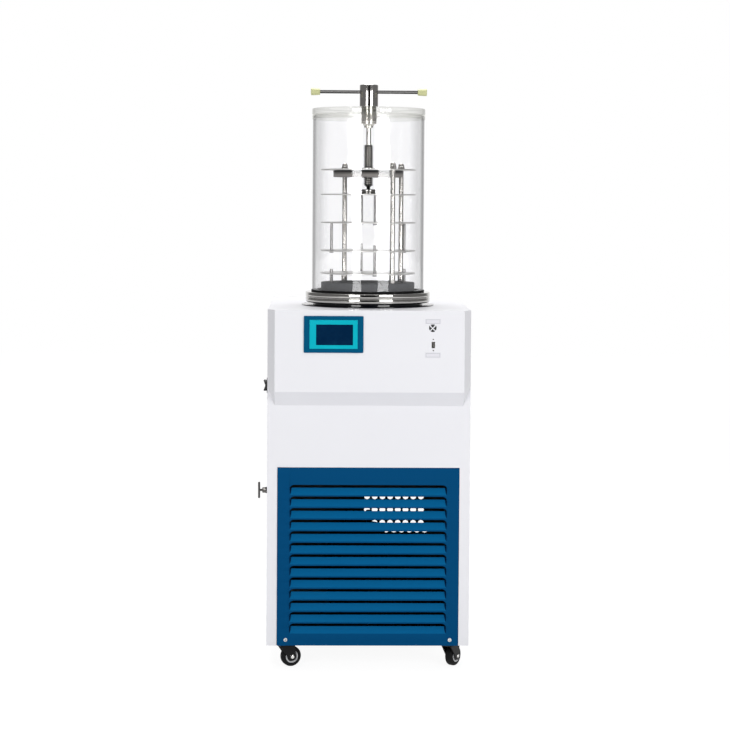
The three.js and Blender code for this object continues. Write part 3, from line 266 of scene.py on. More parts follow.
def powder_coat(name, colour, roughness=0.42, shine=0.5, inside=None, pressed=None):
    """Paint with a fine orange peel. inside is a painted shade: the cabinet's inner faces take
    that dark colour, for the shade inside the cabinet. pressed is painted light and shade: a
    lighter tone on faces that lean up and a darker one on walls that face sideways."""
    s = Shader(name)
    cloud = s.noise(4.0, 3.0)
    tone = s.mottled(cloud, colour, 0.02)
    # painted light and shade: faces that lean up are painted lighter, walls that face sideways
    # darker
    if pressed:
        x, _, z = s.normal()
        tone = s.blend(z.ramp(0.03, 0.4), tone, pressed[0])
        tone = s.blend(abs(x).ramp(0.15, 0.6), tone, pressed[1])
    # painted shade: the cabinet's inner faces, seen through slots and gaps, are painted dark grey
    # for the shade inside it
    if inside:
        x, y, z = s.axes()
        half_width = float((right_side - left_side) / 2)
        within = abs(x - float(MIDDLE[0])) < half_width - SKIN
        within = within * (y > float(front_face) + SKIN) * (y < float(rear_face) - SKIN)
        tone = s.blend(within * (z < float(cabinet_top) - SKIN), tone, inside)
    return s.principled(Base_Color=tone, Specular_IOR_Level=shine,
                        Roughness=roughness + (cloud - 0.5) * 0.08,
                        Normal=s.bump(s.noise(900.0, 1.0), 0.00003, 0.5))


def metal(name, colour, roughness, spread=0.06, lines=(1, 1, 30), relief=0.0, root_shade_radius=None,
          painted_sheen=None):
    """Steel with fine lines. lines stretches the noise: large along the lines' normal.
    A radius about the chamber's axis may be given, within which the steel is painted near
    black: a painted shade in a thread's roots. A tone may be given for a bar's strip that faces
    level: a painted highlight, lighter and not metal, between its flanks."""
    s = Shader(name)
    smudge = s.noise(14.0, 3.0)
    marks = s.noise(60.0, 3.0, 0.6, stretch=lines)
    rough = roughness + (marks - 0.5) * (2 * spread) + (smudge - 0.5) * spread
    tone = s.mottled(marks, colour, 0.07)
    # painted shade: inside this radius, in the thread's roots and below them, the steel is painted
    # near black
    if root_shade_radius:
        edge = s.from_axis().ramp(root_shade_radius - 0.0006, root_shade_radius + 0.0006)
        tone = s.blend(edge, srgb(30, 28, 27), tone)
    values = {"Metallic": 1.0}
    # painted highlight: a bar's strip that faces level is a lighter grey that is not metal
    if painted_sheen:
        values["Metallic"] = abs(s.normal()[2]).ramp(0.25, 0.5)
        tone = s.blend(values["Metallic"], painted_sheen, tone)
    if relief:
        values["Normal"] = s.bump(marks, relief, 0.4)
    return s.principled(Base_Color=tone, Roughness=rough, **values)


def plastic(name, colour, roughness=0.5, shine=0.5, grain=0.00002, rise=None):
    """Moulded plastic. rise = (height, height, colour) paints a shade: the tone goes over to that
    colour upwards between the two heights.
    """
    s = Shader(name)
    speckle = s.noise(500.0, 2.0)
    tone = s.mottled(s.noise(9.0, 2.0), colour, 0.08)
    # painted shade: the tone darkens upwards between the two heights
    if rise:
        tone = s.blend(s.axes()[2].ramp(rise[0], rise[1]), tone, rise[2])
    return s.principled(Base_Color=tone, Specular_IOR_Level=shine,
                        Roughness=roughness + (speckle - 0.5) * 0.1,
                        Normal=s.bump(speckle, grain, 0.5))


def clear(name, face_tint, edge_tint, gloss=0.02, base=0.045, outer=0.0):
    """Clear plastic: what is behind shows straight through, tinted by (1 - cos)^4 where
    the wall is seen edge on, and the mirrored share is F = F0 + k (1 - cos)^5, Schlick's form
    with k below 1, because a sawn and polished wall mirrors less at its edge.
    A round wall with an outer radius instead bends light away along one dark line a little
    inside its edge, so its tint rises slowly, peaks and falls again."""
    s = Shader(name)
    away = s.signal(s.add("LayerWeight", Blend=0.5), 1)
    edge = away ** 4.0
    if outer:
        line = away.ramp(0.64, 0.75) * 0.28 - away.ramp(0.86, 0.98) * 0.26
        edge = (s.from_axis() > outer) * (away.ramp(0.28, 0.64) * 0.19 + line)
    tinted = s.mixed(edge, s.add("BsdfTransparent", Color=(*face_tint, 1.0)),
                     s.add("BsdfTransparent", Color=(*edge_tint, 1.0)))
    mirror = s.add("BsdfGlossy", Roughness=gloss, Color=(1.0, 1.0, 1.0, 1.0))
    return s.surface(s.mixed(away ** 5.0 * 0.42 + base, tinted, mirror).outputs[0])


block_foot = float(place("screw_block")[0][2])
# heights over which the press block is painted darker upwards, a painted shadow under the rack's
# top plate
block_shadow_heights = block_foot + 0.005, block_foot + 0.0125
# the white paint's inner faces are painted dark grey, a painted shade for the inside of the
# cabinet
WHITE = powder_coat("white_powder_coat", srgb(236, 236, 240), inside=srgb(46, 47, 50))
# the blue is painted lighter where the sheet leans up and darker on walls that face sideways:
# painted light and shade
BLUE = powder_coat("blue_powder_coat", srgb(0, 71, 117), 0.5, 0.04,
                   pressed=(srgb(0, 92, 143), srgb(0, 26, 58)))
BLACK = plastic("black_plastic", srgb(30, 31, 33), 0.45)
BLACK_PAINT = plastic("black_paint", srgb(16, 17, 19), 0.25)
GLOSSY_BLACK = plastic("glossy_black", srgb(5, 9, 18), 0.08, grain=0.0)
RUBBER = plastic("rubber", srgb(12, 12, 13), 0.7, 0.2)
FORK_BLACK = plastic("fork_black", srgb(9, 9, 10), 0.4, 0.2)
PRIMER = plastic("dark_primer", srgb(9, 11, 18), 0.8, 0.05)
GREY_ALLOY = plastic("grey_rack_base", srgb(82, 84, 87), 0.6, 0.3)
# the press block's top is painted near black, a painted shadow under the rack's top plate
BLOCK_GREY = plastic("block_grey", srgb(144, 140, 136), 0.5, 0.25,
                     rise=(*block_shadow_heights, srgb(14, 12, 12)))
KNOB = plastic("knob_plastic", srgb(212, 214, 160), 0.4)
DISPLAY_BLUE = plastic("display_blue", srgb(0, 84, 122), 0.5, 0.03)
HUB_GREY = plastic("wheel_grey", srgb(196, 197, 199), 0.4)
# the acrylic's face tint is above 1, so what shows through the tube is brightened a little:
# painted light
ACRYLIC = clear("clear_acrylic", (1.02, 1.02, 1.024), (0.02, 0.02, 0.025), outer=0.135)
LID_ACRYLIC = clear("lid_acrylic", (0.935, 0.935, 0.925), (0.45, 0.45, 0.43), 0.05, outer=0.1)
SILICONE = clear("milky_silicone", (0.94, 0.94, 0.93), (0.93, 0.93, 0.91), 0.25, 0.02)

LATHE, DRAWN = (1, 1, 40), (40, 1, 1)  # lines round an upright axis, and along a level bar
FINE = 0.000004
POLISHED = metal("polished_steel", (0.72, 0.71, 0.69), 0.12, relief=FINE)
SATIN = metal("satin_steel", (0.50, 0.50, 0.50), 0.34, relief=FINE)
DARK_STEEL = metal("dark_steel", (0.25, 0.24, 0.23), 0.3, relief=FINE)
# the thread's roots are painted near black, a painted shade
SCREW_STEEL = metal("screw_steel", (0.26, 0.25, 0.235), 0.26, 0.02, LATHE, root_shade_radius=0.0104)
TURNED = metal("turned_steel", (0.42, 0.41, 0.39), 0.26, 0.04, LATHE)
SHELF_STEEL = metal("shelf_steel", (0.78, 0.77, 0.75), 0.38, 0.03, (1, 1, 1))
COLUMN_STEEL = metal("column_steel", (0.62, 0.60, 0.57), 0.25, 0.01, LATHE)
ROD_STEEL = metal("rod_steel", (0.33, 0.325, 0.32), 0.32, 0.01, LATHE)
NUT_STEEL = metal("nut_steel", (0.68, 0.66, 0.63), 0.2, 0.03)
RING_STEEL = metal("ring_steel", (0.78, 0.76, 0.71), 0.2, 0.02, LATHE)
HUB_STEEL = metal("hub_steel", (0.62, 0.61, 0.56), 0.25, 0.03, LATHE)
CAP_STEEL = metal("cap_steel", (0.62, 0.60, 0.58), 0.07, 0.01, LATHE)
FLANGE_STEEL = metal("flange_steel", (0.55, 0.54, 0.52), 0.06, 0.01, LATHE)
BAR_STEEL = metal("bar_steel", (0.13, 0.125, 0.12), 0.2, 0.03, DRAWN)
# the cross bar's level strip is painted lighter grey and its flanks near black: painted light and
# shade of a round bar
CROSS_STEEL = metal("cross_bar_steel", (0.02, 0.02, 0.02), 0.3, 0.03, DRAWN,
                    painted_sheen=(0.26, 0.255, 0.25))


def screen_glass():
    """Glass over a lit picture: a cyan border round a navy field with faint scratches."""
    s = Shader("screen_glass")
    x, y, z = s.axes()
    at = MIDDLE + np.array([-84.3, 0, 822.5]) * MM
    inside = (abs(x - float(at[0])) < 0.04405) * (abs(z - float(at[2])) < 0.0246)
    haze = s.noise(30.0, 4.0, 0.6).ramp(0.45, 0.75)
    scratches = s.noise(160.0, 4.0, 0.7, stretch=(0.35, 1.0, 1.6)).ramp(0.62, 0.75)
    navy = s.blend(haze * 0.35 + scratches * 0.25, srgb(0, 34, 66), srgb(18, 62, 98))
    cyan = s.blend(haze * 0.3, srgb(14, 180, 198), srgb(34, 194, 210))
    tone = s.blend(inside, cyan, navy)
    return s.principled(Base_Color=tone, Roughness=0.12)


def label_print():
    """A bare label: off-white film with a thin grey frame printed on it. The two labels
    lie the same way above and below one height, so one sum on |z| draws both frames."""
    s = Shader("bare_label")
    x, y, z = s.axes()
    film = s.noise(300.0, 2.0)
    across = abs(x - float(MIDDLE[0] + 0.151))
    along = abs(abs(z - float(cabinet_top - 0.0659)) - 0.0402)
    within = (across < 0.0168) * (along < 0.0047)
    line = within * (1 - (across < 0.0161) * (along < 0.0040))
    tone = s.blend(film * 0.4, srgb(226, 225, 231), srgb(220, 220, 226))
    tone = s.blend(line * 0.6, tone, srgb(120, 122, 130))
    return s.principled(Base_Color=tone, Roughness=0.5)


GLASS_SCREEN = screen_glass()
LABEL = label_print()
print("finishes", len(bpy.data.materials))


# %% [markdown]
# ## Surfaces from arrays
# Every new piece is a grid of points: a function of two parameters. The grid becomes a mesh
# in one go, its doubled points are merged, and its faces are turned outwards. Sizes are in
# millimetres, and only the finished mesh is in metres.


# %% From a grid to a piece
def grid_faces(rows, columns, wrap_rows=False, wrap_columns=False):
    """Corner numbers of the quads of a grid whose points are numbered row by row."""
    i = np.arange(rows if wrap_rows else rows - 1)[:, None]
    j = np.arange(columns if wrap_columns else columns - 1)[None, :]
    i2, j2 = (i + 1) % rows, (j + 1) % columns
    quads = np.stack([i * columns + j, i * columns + j2, i2 * columns + j2,
                      i2 * columns + j], axis=-1)
    return quads.reshape(-1, 4)


def make_mesh(name, *patches, closed=True, sharp=32):
    """One mesh from patches of (points in millimetres, faces): doubled points merged, faces
    of a closed form turned outwards, and all edges smooth but the sharp ones and rims."""
    points, faces, start = [], [], 0
    for patch_points, patch_faces in patches:
        flat = np.asarray(patch_points, float).reshape(-1, 3)
        points.append(flat)
        faces.extend((np.asarray(patch_faces) + start).tolist())
        start += len(flat)
    mesh = bpy.data.meshes.new(name)
    mesh.from_pydata(np.vstack(points) * MM, [], faces)
    work = bmesh.new()
    work.from_mesh(mesh)
    bmesh.ops.remove_doubles(work, verts=work.verts, dist=2e-6)
    bmesh.ops.dissolve_degenerate(work, edges=work.edges, dist=1e-6)
    loose = [edge for edge in work.edges if not edge.link_faces]
    bmesh.ops.delete(work, geom=loose, context="EDGES")
    if closed:
        bmesh.ops.recalc_face_normals(work, faces=work.faces)
    work.to_mesh(mesh)
    work.free()
    mesh.polygons.foreach_set("use_smooth", np.ones(len(mesh.polygons), bool))
    mesh.set_sharp_from_angle(angle=math.radians(sharp))
    if not closed:
        faces_on = np.zeros(len(mesh.edges), int)
        np.add.at(faces_on, [loop.edge_index for loop in mesh.loops], 1)
        for edge in np.flatnonzero(faces_on == 1).tolist():
            mesh.edges[edge].use_edge_sharp = True
    return mesh


def paint(mesh, finish):
    """Gives a mesh one finish and no other."""
    mesh.materials.clear()
    mesh.materials.append(finish)


def piece(name, mesh, finish, body, slot, *stands_for):
    """Puts a mesh into the scene as a piece that rides on a body."""
    thing = bpy.data.objects.new(name, mesh)
    bpy.context.scene.collection.objects.link(thing)
    paint(mesh, finish)
    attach(thing, body)
    if stands_for:
        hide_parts(*stands_for)
    return thing


def form(name, patches, finish, slot, *stands_for, body="machine", **how):
    """A piece made of patches, which may stand for engineering nodes."""
    return piece(name, make_mesh(name, *patches, **how), finish, body, slot, *stands_for)


def softened(node, finish, slot, width, body="machine", segments=2, flat=False):
    """A merged copy of an engineering node whose edges are rounded by a bevel. Sheet metal
    is flat: smooth shading would draw streaks across a big face with holes in it."""
    mesh = nodes[node].data.copy()
    work = bmesh.new()
    work.from_mesh(mesh)
    bmesh.ops.remove_doubles(work, verts=work.verts, dist=1e-6)
    bmesh.ops.dissolve_limit(work, angle_limit=math.radians(0.5), verts=work.verts,
                             edges=work.edges)
    work.to_mesh(mesh)
    work.free()
    mesh.polygons.foreach_set("use_smooth", np.full(len(mesh.polygons), not flat))
    bevel = piece(node + "_soft", mesh, finish, body, slot, node).modifiers.new(
        "rounded_edges", "BEVEL")
    bevel.width = width * MM
    bevel.segments = segments
    bevel.limit_method = "ANGLE"
    bevel.angle_limit = math.radians(30)
    bevel.harden_normals = not flat


# %% [markdown]
# ## Turned forms
# Most of the chamber was made on a lathe, so one function makes it all: a profile of radius
# and height is carried round an axis. A second function rounds the profile's corners first,
# as a file or a moulding radius does, because a real edge always shows a thin line of light.


# %% Lathe and rounded corners
def soften(points, radius, steps=4):
    """A profile with rounded corners. Each corner's arc is (1-t)^2 a + 2t(1-t) p + t^2 b,
    between points a and b at a radius from the corner p. Corners on the axis stay sharp, and
    a corner's third number is its own radius."""
    corners = np.array([p[:2] for p in points], float)
    radii = [p[2] if len(p) > 2 else radius for p in points]
    t = np.linspace(0, 1, steps)[:, None]
    rounded = []
    for i, (corner, size) in enumerate(zip(corners, radii)):
        if size == 0 or corner[0] < 1e-9:
            rounded.append(corner[None, :])
            continue
        back = corners[i - 1] - corner
        forth = corners[(i + 1) % len(corners)] - corner
        lengths = np.linalg.norm(back), np.linalg.norm(forth)
        reach = min(size, 0.49 * lengths[0], 0.49 * lengths[1])
        a = corner + back / lengths[0] * reach
        b = corner + forth / lengths[1] * reach
        rounded.append((1 - t) ** 2 * a + 2 * t * (1 - t) * corner + t ** 2 * b)
    return np.vstack(rounded)


FRAMES = {"z": np.eye(3), "x": np.eye(3)[[1, 2, 0]], "y": np.eye(3)[[2, 0, 1]]}


def turned(profile, at=(0, 0, 0), along="z", steps=96, apothem=None):
    """Carries a profile of (radius, height) round an axis through the point at:
    point = at + r cos a e1 + r sin a e2 + h e3. With an apothem the radius is at most that
    of a hexagon, apothem / cos(a mod 60 - 30 degrees), which gives a chamfered nut."""
    e = FRAMES[along] if isinstance(along, str) else along
    profile = np.asarray(profile, float)
    angle = np.linspace(0, 2 * np.pi, steps, endpoint=False)[:, None]
    r = profile[None, :, 0] + 0 * angle
    if apothem:
        sixth = np.mod(angle, np.pi / 3) - np.pi / 6
        r = np.minimum(r, apothem / np.cos(sixth))
    h = profile[None, :, 1] + 0 * angle
    points = (np.asarray(at, float) + (r * np.cos(angle))[..., None] * e[0]
              + (r * np.sin(angle))[..., None] * e[1] + h[..., None] * e[2])
    open_profile = profile[0, 0] < 1e-9 and profile[-1, 0] < 1e-9
    return points, grid_faces(steps, len(profile), True, not open_profile)


def extent(node):
    """Radius, bottom and top of an upright round node, in millimetres."""
    low, high = place(node) / MM
    return max(high[:2] - low[:2]) / 2, low[2], high[2]


def centre(node):
    """The middle of a node's box, in millimetres."""
    return middle(node) / MM


ON_AXIS = (*AXIS, 0.0)


def lathe(name, profile, rounding, steps, finish, slot, *stands_for, body="machine", arc=4):
    """A piece turned about the chamber's axis from a profile with rounded corners."""
    patch = turned(soften(profile, rounding, arc), ON_AXIS, steps=steps)
    return form(name, [patch], finish, slot, *stands_for, body=body)


def circle(radius, at, steps):
    """Points of a circle: at + r (cos a, sin a)."""
    a = np.linspace(0, 2 * np.pi, steps, endpoint=False)
    return np.stack([at[0] + radius * np.cos(a), at[1] + radius * np.sin(a)], axis=-1)


def drilled_disc(radius, holes, z0, z1, rim, steps=96):
    """A flat disc about the chamber's axis with round holes of (x, y, radius). Its two faces
    are triangulated between the circles, and a quarter-round profile runs round each."""
    ring = [(radius, AXIS, steps, 1)] + [(r, (x, y), 24, -1) for x, y, r in holes]
    loops = [circle(r - side * rim, at, n) for r, at, n, side in ring]
    flat = np.vstack(loops)
    edges, start = [], 0
    for loop in loops:
        k = np.arange(len(loop))
        edges += np.stack([start + k, start + (k + 1) % len(loop)], -1).tolist()
        start += len(loop)
    found = delaunay_2d_cdt([Vector(p) for p in flat], edges, [], 1, 1e-6)
    spots, faces = np.array(found[0]), np.array(found[2])
    centres = spots[faces].mean(axis=1)
    solid = np.ones(len(faces), bool)
    for x, y, r in holes:
        solid &= np.hypot(centres[:, 0] - x, centres[:, 1] - y) > r
    faces = faces[solid]
    patches = [(np.column_stack([spots, np.full(len(spots), z)]), faces) for z in (z0, z1)]
    turn = np.linspace(0, np.pi / 2, 4)
    inward = rim * (1 - np.sin(turn))
    rise = rim * (1 - np.cos(turn))
    profile = np.vstack([np.column_stack([inward, z0 + rise]),
                         np.column_stack([inward[::-1], z1 - rise[::-1]])])
    for r, at, n, side in ring:
        section = np.column_stack([r - side * profile[:, 0], profile[:, 1]])
        points, _ = turned(section, (*at, 0), steps=n)
        patches.append((points, grid_faces(n, len(section), True, False)))
    return patches


# %% [markdown]
# ## Cabinet
# The cabinet's panels are folded sheet steel. The engineering model has their shape, and a
# small bevel gives their edges the soft line of paint over a fold.

# %% White panels
for panel in ("front_panel", "left_side_panel", "right_side_panel", "rear_panel"):
    softened(panel, WHITE, "white_paint", 0.5, flat=True)
softened("top_panel", WHITE, "white_paint", 0.7, flat=True)
softened("base_pan", SATIN, "satin_steel", 0.4, flat=True)
paint(nodes["fascia"].data, WHITE)

# %% [markdown]
# ## Louvred grille
# Each louvre is cut along its top and pressed inwards, so that it hinges on a soft fold at
# its foot. Its end walls slope, and so they grow wider as the louvre gets deeper, which
# draws the tapering dark lines at its ends. Their darkness is partly painted shade: the blue
# paint is painted darker on walls that face sideways, and lighter where the sheet leans up.
# The panel could be cut by booleans, but then no face would follow the curved walls. Here
# it is a few grids that share their edges.

# %% One sheet of louvres
low, high = place("louvre_panel") / MM
grille_middle, grille_half = (low[0] + high[0]) / 2, (high[0] - low[0]) / 2
grille_face = low[1]
SHEET = 1.5
LOUVRES, PITCH, FIRST_SLOT = 13, 28.1, 41.5
SLOT_HALF, SLOT_CORNER, SLOT_GAP, PRESSED = 190.0, 10.5, 8.0, 17.0
PRESS_DEPTH, WALL_SLOPE = 7.9, 1.75

corner_angle = np.linspace(0, np.pi / 2, 8)
arc_x = SLOT_HALF - SLOT_CORNER * (1 - np.sin(corner_angle))
inner_x = np.linspace(0, SLOT_HALF - SLOT_CORNER, 9)[:-1]
half_x = np.concatenate([inner_x, arc_x])
COLUMNS_X = np.concatenate([-half_x[:0:-1], half_x])
arc_drop = np.concatenate([0 * inner_x, SLOT_CORNER * (1 - np.cos(corner_angle))])
TOP_DROP = np.concatenate([arc_drop[:0:-1], arc_drop])
UP = np.array([0, 0.02, 0.05, 0.1, 0.18, 0.3, 0.5, 0.7, 0.85, 0.95, 1.0])
WALL = np.array([0, 0.12, 0.3, 0.5, 0.7, 0.88])


def sheet_patch(x, y, z):
    """A patch of sheet from arrays of x across, y into the machine and z up."""
    x, y, z = np.broadcast_arrays(x, y, z)
    points = np.stack([grille_middle + x, grille_face + y, z], axis=-1)
    return points, grid_faces(*x.shape)


def louvre_patch(fold):
    """A pressed louvre over (u up, v across). Its depth is D(u) S(v): D runs from a soft
    fold to a straight slope, D = d u^2 / (u + 0.06) scaled to d at the top, and S is an
    S-curve over an end wall whose width is w u / (u + 0.25), scaled to w at the top."""
    depth = PRESS_DEPTH * UP ** 2 / (UP + 0.06) * 1.06
    width = PRESS_DEPTH / WALL_SLOPE * 1.25 * UP / (UP + 0.25)
    rise = (WALL * WALL * (3 - 2 * WALL))[None, :]
    left_x = -SLOT_HALF + width[:, None] * WALL
    middle_x = COLUMNS_X[None, :] * (1 - width[:, None] / SLOT_HALF)
    x = np.hstack([left_x, middle_x, -left_x[:, ::-1]])
    y = depth[:, None] * np.hstack([rise, np.ones((1, len(COLUMNS_X))), rise[:, ::-1]])
    corner = SLOT_CORNER - SLOT_GAP
    drop = np.hstack([corner * (1 - rise), np.zeros((1, len(COLUMNS_X))),
                      corner * (1 - rise[:, ::-1])])
    return sheet_patch(x, y, fold + UP[:, None] * (PRESSED - drop))


patches = []
grille_bottom, grille_top = low[2], high[2]
slot_tops = grille_top - FIRST_SLOT - PITCH * np.arange(LOUVRES)
folds = slot_tops - SLOT_GAP - PRESSED
side_levels = [grille_bottom]
for slot_top, fold in zip(slot_tops[::-1], folds[::-1]):
    side_levels += list(fold + UP * (PRESSED + SLOT_GAP - SLOT_CORNER))
side_levels = np.array(side_levels + [grille_top])[:, None]
for side in (-1, 1):
    edges = np.array([[SLOT_HALF, (SLOT_HALF + grille_half) / 2, grille_half]]) * side
    patches.append(sheet_patch(edges, 0.0, side_levels))
ceilings = np.concatenate([[grille_top], folds[:-1]])
for slot_top, fold, ceiling in zip(slot_tops, folds, ceilings):
    patches.append(louvre_patch(fold))
    bent = np.stack([slot_top - TOP_DROP, np.full(len(TOP_DROP), ceiling)])
    patches.append(sheet_patch(COLUMNS_X[None, :], 0.0, bent))
foot = np.array([[grille_bottom], [folds[-1]]])
patches.append(sheet_patch(COLUMNS_X[None, :], 0.0, foot))
grille = form("louvred_grille", patches, BLUE, "blue_paint", "louvre_panel", closed=False,
              sharp=50)
if sum(face.normal.y for face in grille.data.polygons) > 0:
    grille.data.flip_normals()
wall = grille.modifiers.new("sheet", "SOLIDIFY")
wall.thickness = SHEET * MM
wall.offset = -1.0
wall.use_even_offset = False
print("grille faces", len(grille.data.polygons))


# %% [markdown]
# ## Screws
# A pan head is a low dome with a cross-shaped recess. The recess could be cut, but a dip in
# the dome's own height does it: the surface stays one grid.

# %% Pan-head screws
def pan_head(at, radius, height, along):
    """A dome h = H (1 - (r/R)^4) with a cross recess: h falls where |x| or |y| is small and
    both are inside the cross's length. along is a frame whose third vector points out."""
    rings, steps = 15, 48
    share = np.linspace(0, 1, rings)[None, :]
    a = np.linspace(0, 2 * np.pi, steps, endpoint=False)[:, None]
    x, y = share * np.cos(a), share * np.sin(a)
    near = np.minimum(np.abs(x), np.abs(y))
    far = np.maximum(np.abs(x), np.abs(y))
    dip = np.clip((0.13 - near) / 0.05, 0, 1) * np.clip((0.55 - far) / 0.08, 0, 1)
    h = height * (1 - share ** 4 - dip * 0.7)
    top = (at + (radius * x)[..., None] * along[0]
           + (radius * y)[..., None] * along[1] + h[..., None] * along[2])
    foot = top[:, -1:, :] - along[2] * 0.4
    under = np.broadcast_to(at - along[2] * 0.4, foot.shape)
    return np.concatenate([top, foot, under], axis=1), grid_faces(steps, rings + 2, True)


FRONTWARD = np.array([[1, 0, 0], [0, 0, 1], [0, -1, 0]], float)
heads = [pan_head(np.array([grille_middle + x, grille_face, grille_bottom + 14]), 5.2, 2.4,
                  FRONTWARD) for x in (-199, 199)]
form("grille_screws", heads, SHELF_STEEL, "satin_steel")
print("grille screws", len(heads))

# %% [markdown]
# ## Display and controls
# The display is a plastic frame with a sheet of glass in it. What the glass shows is a
# bright border round a dark field, drawn by the glass's own shader, so that it stays one
# clean piece.


# %% Display
FACE_HEIGHT, FACE_LEAN = 116.0, 4.5  # the fascia's upper face, in millimetres
lean = math.atan2(FACE_LEAN, FACE_HEIGHT)
FACE = np.array([[1.0, 0, 0], [0, math.sin(lean), math.cos(lean)],
                 [0, -math.cos(lean), math.sin(lean)]])
FOLD = np.array([grille_middle, place("fascia")[0][1] / MM, cabinet_top / MM - FACE_HEIGHT])


def on_face(across_mm, up_mm):
    """A point of the fascia's upper face, from the middle of its fold, in millimetres."""
    return FOLD + across_mm * FACE[0] + up_mm * FACE[1]


def rounded_loop(width, height, radius, per_corner=6):
    """A rectangle's outline whose corners are quarter circles, as (x, y) points."""
    quarters = []
    for k, (sx, sy) in enumerate(((1, 1), (-1, 1), (-1, -1), (1, -1))):
        a = np.linspace(0, np.pi / 2, per_corner) + k * np.pi / 2
        quarters.append(radius * np.stack([np.cos(a), np.sin(a)], -1)
                        + [sx * (width / 2 - radius), sy * (height / 2 - radius)])
    return np.vstack(quarters)


def stacked(outlines, levels, at, axes, closed=True):
    """Joins flat outlines one after another, each at its level along the third axis, and
    closes the first and last with a fan to their middle."""
    loops = [at + flat[:, :1] * axes[0] + flat[:, 1:] * axes[1] + level * axes[2]
             for flat, level in zip(outlines, levels)]
    if closed:
        ends = [np.broadcast_to(loop.mean(axis=0), loop.shape) for loop in loops[::len(loops) - 1]]
        loops = [ends[0], *loops, ends[1]]
    return np.stack(loops, axis=1), grid_faces(len(loops[0]), len(loops), True, not closed)


def tray(at, levels, axes=FACE, closed=True):
    """A stack of rounded rectangles of (width, height, radius, level)."""
    return stacked([rounded_loop(*row[:3]) for row in levels], [row[3] for row in levels],
                   at, axes, closed)


def slab(outline, at, axes, levels):
    """A stack of copies of a convex outline, one for each (level, shrink)."""
    centroid = outline.mean(axis=0)
    away = outline - centroid
    reach = np.linalg.norm(away, axis=1, keepdims=True)
    return stacked([centroid + away * (1 - shrink / reach) for _, shrink in levels],
                   [level for level, _ in levels], at, axes)


display = on_face(-86.5, 58.5)
bezel_levels = [(142.4, 88, 2.4, 0.35), (142.4, 88, 2.4, 2.4), (142.0, 87.6, 2.2, 2.9),
                (141.2, 86.8, 1.8, 3.3), (116.6, 70.6, 1.4, 3.3), (115.6, 69.6, 1, 3.0),
                (115.4, 69.4, 1, 0.7), (121, 73, 1.5, 0.35)]
bezel = tray(display, bezel_levels, closed=False)
form("display_frame", [bezel], DISPLAY_BLUE, "display_blue", "hmi_bezel")
glass = tray(display, [(115, 69, 0.8, 0.8), (115, 69, 0.8, 2.4), (114.6, 68.6, 0.7, 2.6)])
form("display_glass", [glass], GLASS_SCREEN, "display_glass", "hmi_screen")
for name, level, height in (("upper_label", 90.3, 12.3), ("lower_label", 9.8, 13.5)):
    plate = tray(on_face(151, level), [(38, height, 0.8, 0.02), (38, height, 0.8, 0.10),
                                       (37.6, height - 0.4, 0.7, 0.14)])
    form(name, [plate], LABEL, "white_paint")
slits = []
for quarter in range(4):
    turn = np.radians(90 * quarter + np.linspace(-36, 36, 10))
    wedge = np.vstack([8.7 * np.stack([np.cos(turn), np.sin(turn)], -1),
                       1.7 * np.array([[np.cos(turn).mean(), np.sin(turn).mean()]])])
    slits.append(slab(wedge, on_face(150.4, 74.0), FACE, [(0.02, 0), (0.2, 0), (0.24, 0.1)]))
form("buzzer_mouth", slits, BLACK, "black_plastic")
socket_heads = [pan_head(on_face(152, 34.3 + side * 13.15), 1.7, 0.9, FACE)
                for side in (-1, 1)]
form("socket_screws", socket_heads, DARK_STEEL, "satin_steel")
print("display at", display.round(1))

# %% [markdown]
# ## Chamber
# A polished flange sits on a black collar, and carries the gasket, the clear tube and the
# lid. All of them are turned.

# %% Collar, flange, gaskets, tube and lid
radius, z0, z1 = extent("chamber_collar")
lathe("collar", [(127, z0), (radius, z0, 0.8), (radius, z0 + 2, 0.8), (138.5, z0 + 2, 1.2),
                 (138.5, z1, 0.8), (127, z1)],
      0.5, 160, GLOSSY_BLACK, "black_plastic", "chamber_collar")

radius, z0, z1 = extent("chamber_flange")
seam = (z0 + z1) / 2
lathe("flange", [(112, z0), (radius - 3, z0, 1.5), (radius - 0.2, z0 + 2.8, 1.5),
                 (radius, seam - 1.9, 0.5), (radius - 1.6, seam - 1.2, 0.4),
                 (radius - 1.6, seam - 0.6, 0.4), (radius - 0.1, seam - 0.1, 0.8),
                 (radius - 0.1, seam + 1.6, 0.8), (radius - 1.3, seam + 2.2, 0.4),
                 (radius, seam + 3.0, 0.6), (radius, z1 - 1.6, 1.2), (radius - 1.6, z1, 1.2),
                 (112, z1)],
      0.6, 192, FLANGE_STEEL, "polished_steel", "chamber_flange", arc=5)

radius, z0, z1 = extent("base_gasket")
lathe("foot_gasket", [(127, z0), (radius, z0), (radius, z1), (127, z1)],
      1.0, 160, RUBBER, "rubber", "base_gasket")

radius, z0, z1 = extent("chamber_tube")
lathe("clear_tube", [(radius - 10, z0), (radius, z0), (radius, z1), (radius - 10, z1)],
      0.6, 192, ACRYLIC, "clear_acrylic", "chamber_tube")

radius, z0, z1 = extent("lid_gasket")
lathe("lid_seal", [(128, z1 - 3), (140.3, z1 - 3, 0.2), (140.3, z0, 0.6), (radius, z0, 0.7),
                   (radius, z1, 0.9), (128, z1)],
      0.5, 192, SILICONE, "silicone", "lid_gasket")

radius, z0, z1 = extent("lid_plate")
lathe("clear_lid", [(19.3, z0), (radius, z0, 0.8), (radius, z1, 1.4), (19.3, z1)],
      0.5, 192, LID_ACRYLIC, "clear_acrylic", "lid_plate")
print("chamber on", AXIS.round(1))

# %% [markdown]
# ## Rack
# Discs with holes can't be turned in one go, so a disc's two faces are triangulated between
# the circles of its rim and its holes. Each circle then gets a rounded edge, carried round
# it like any other profile.


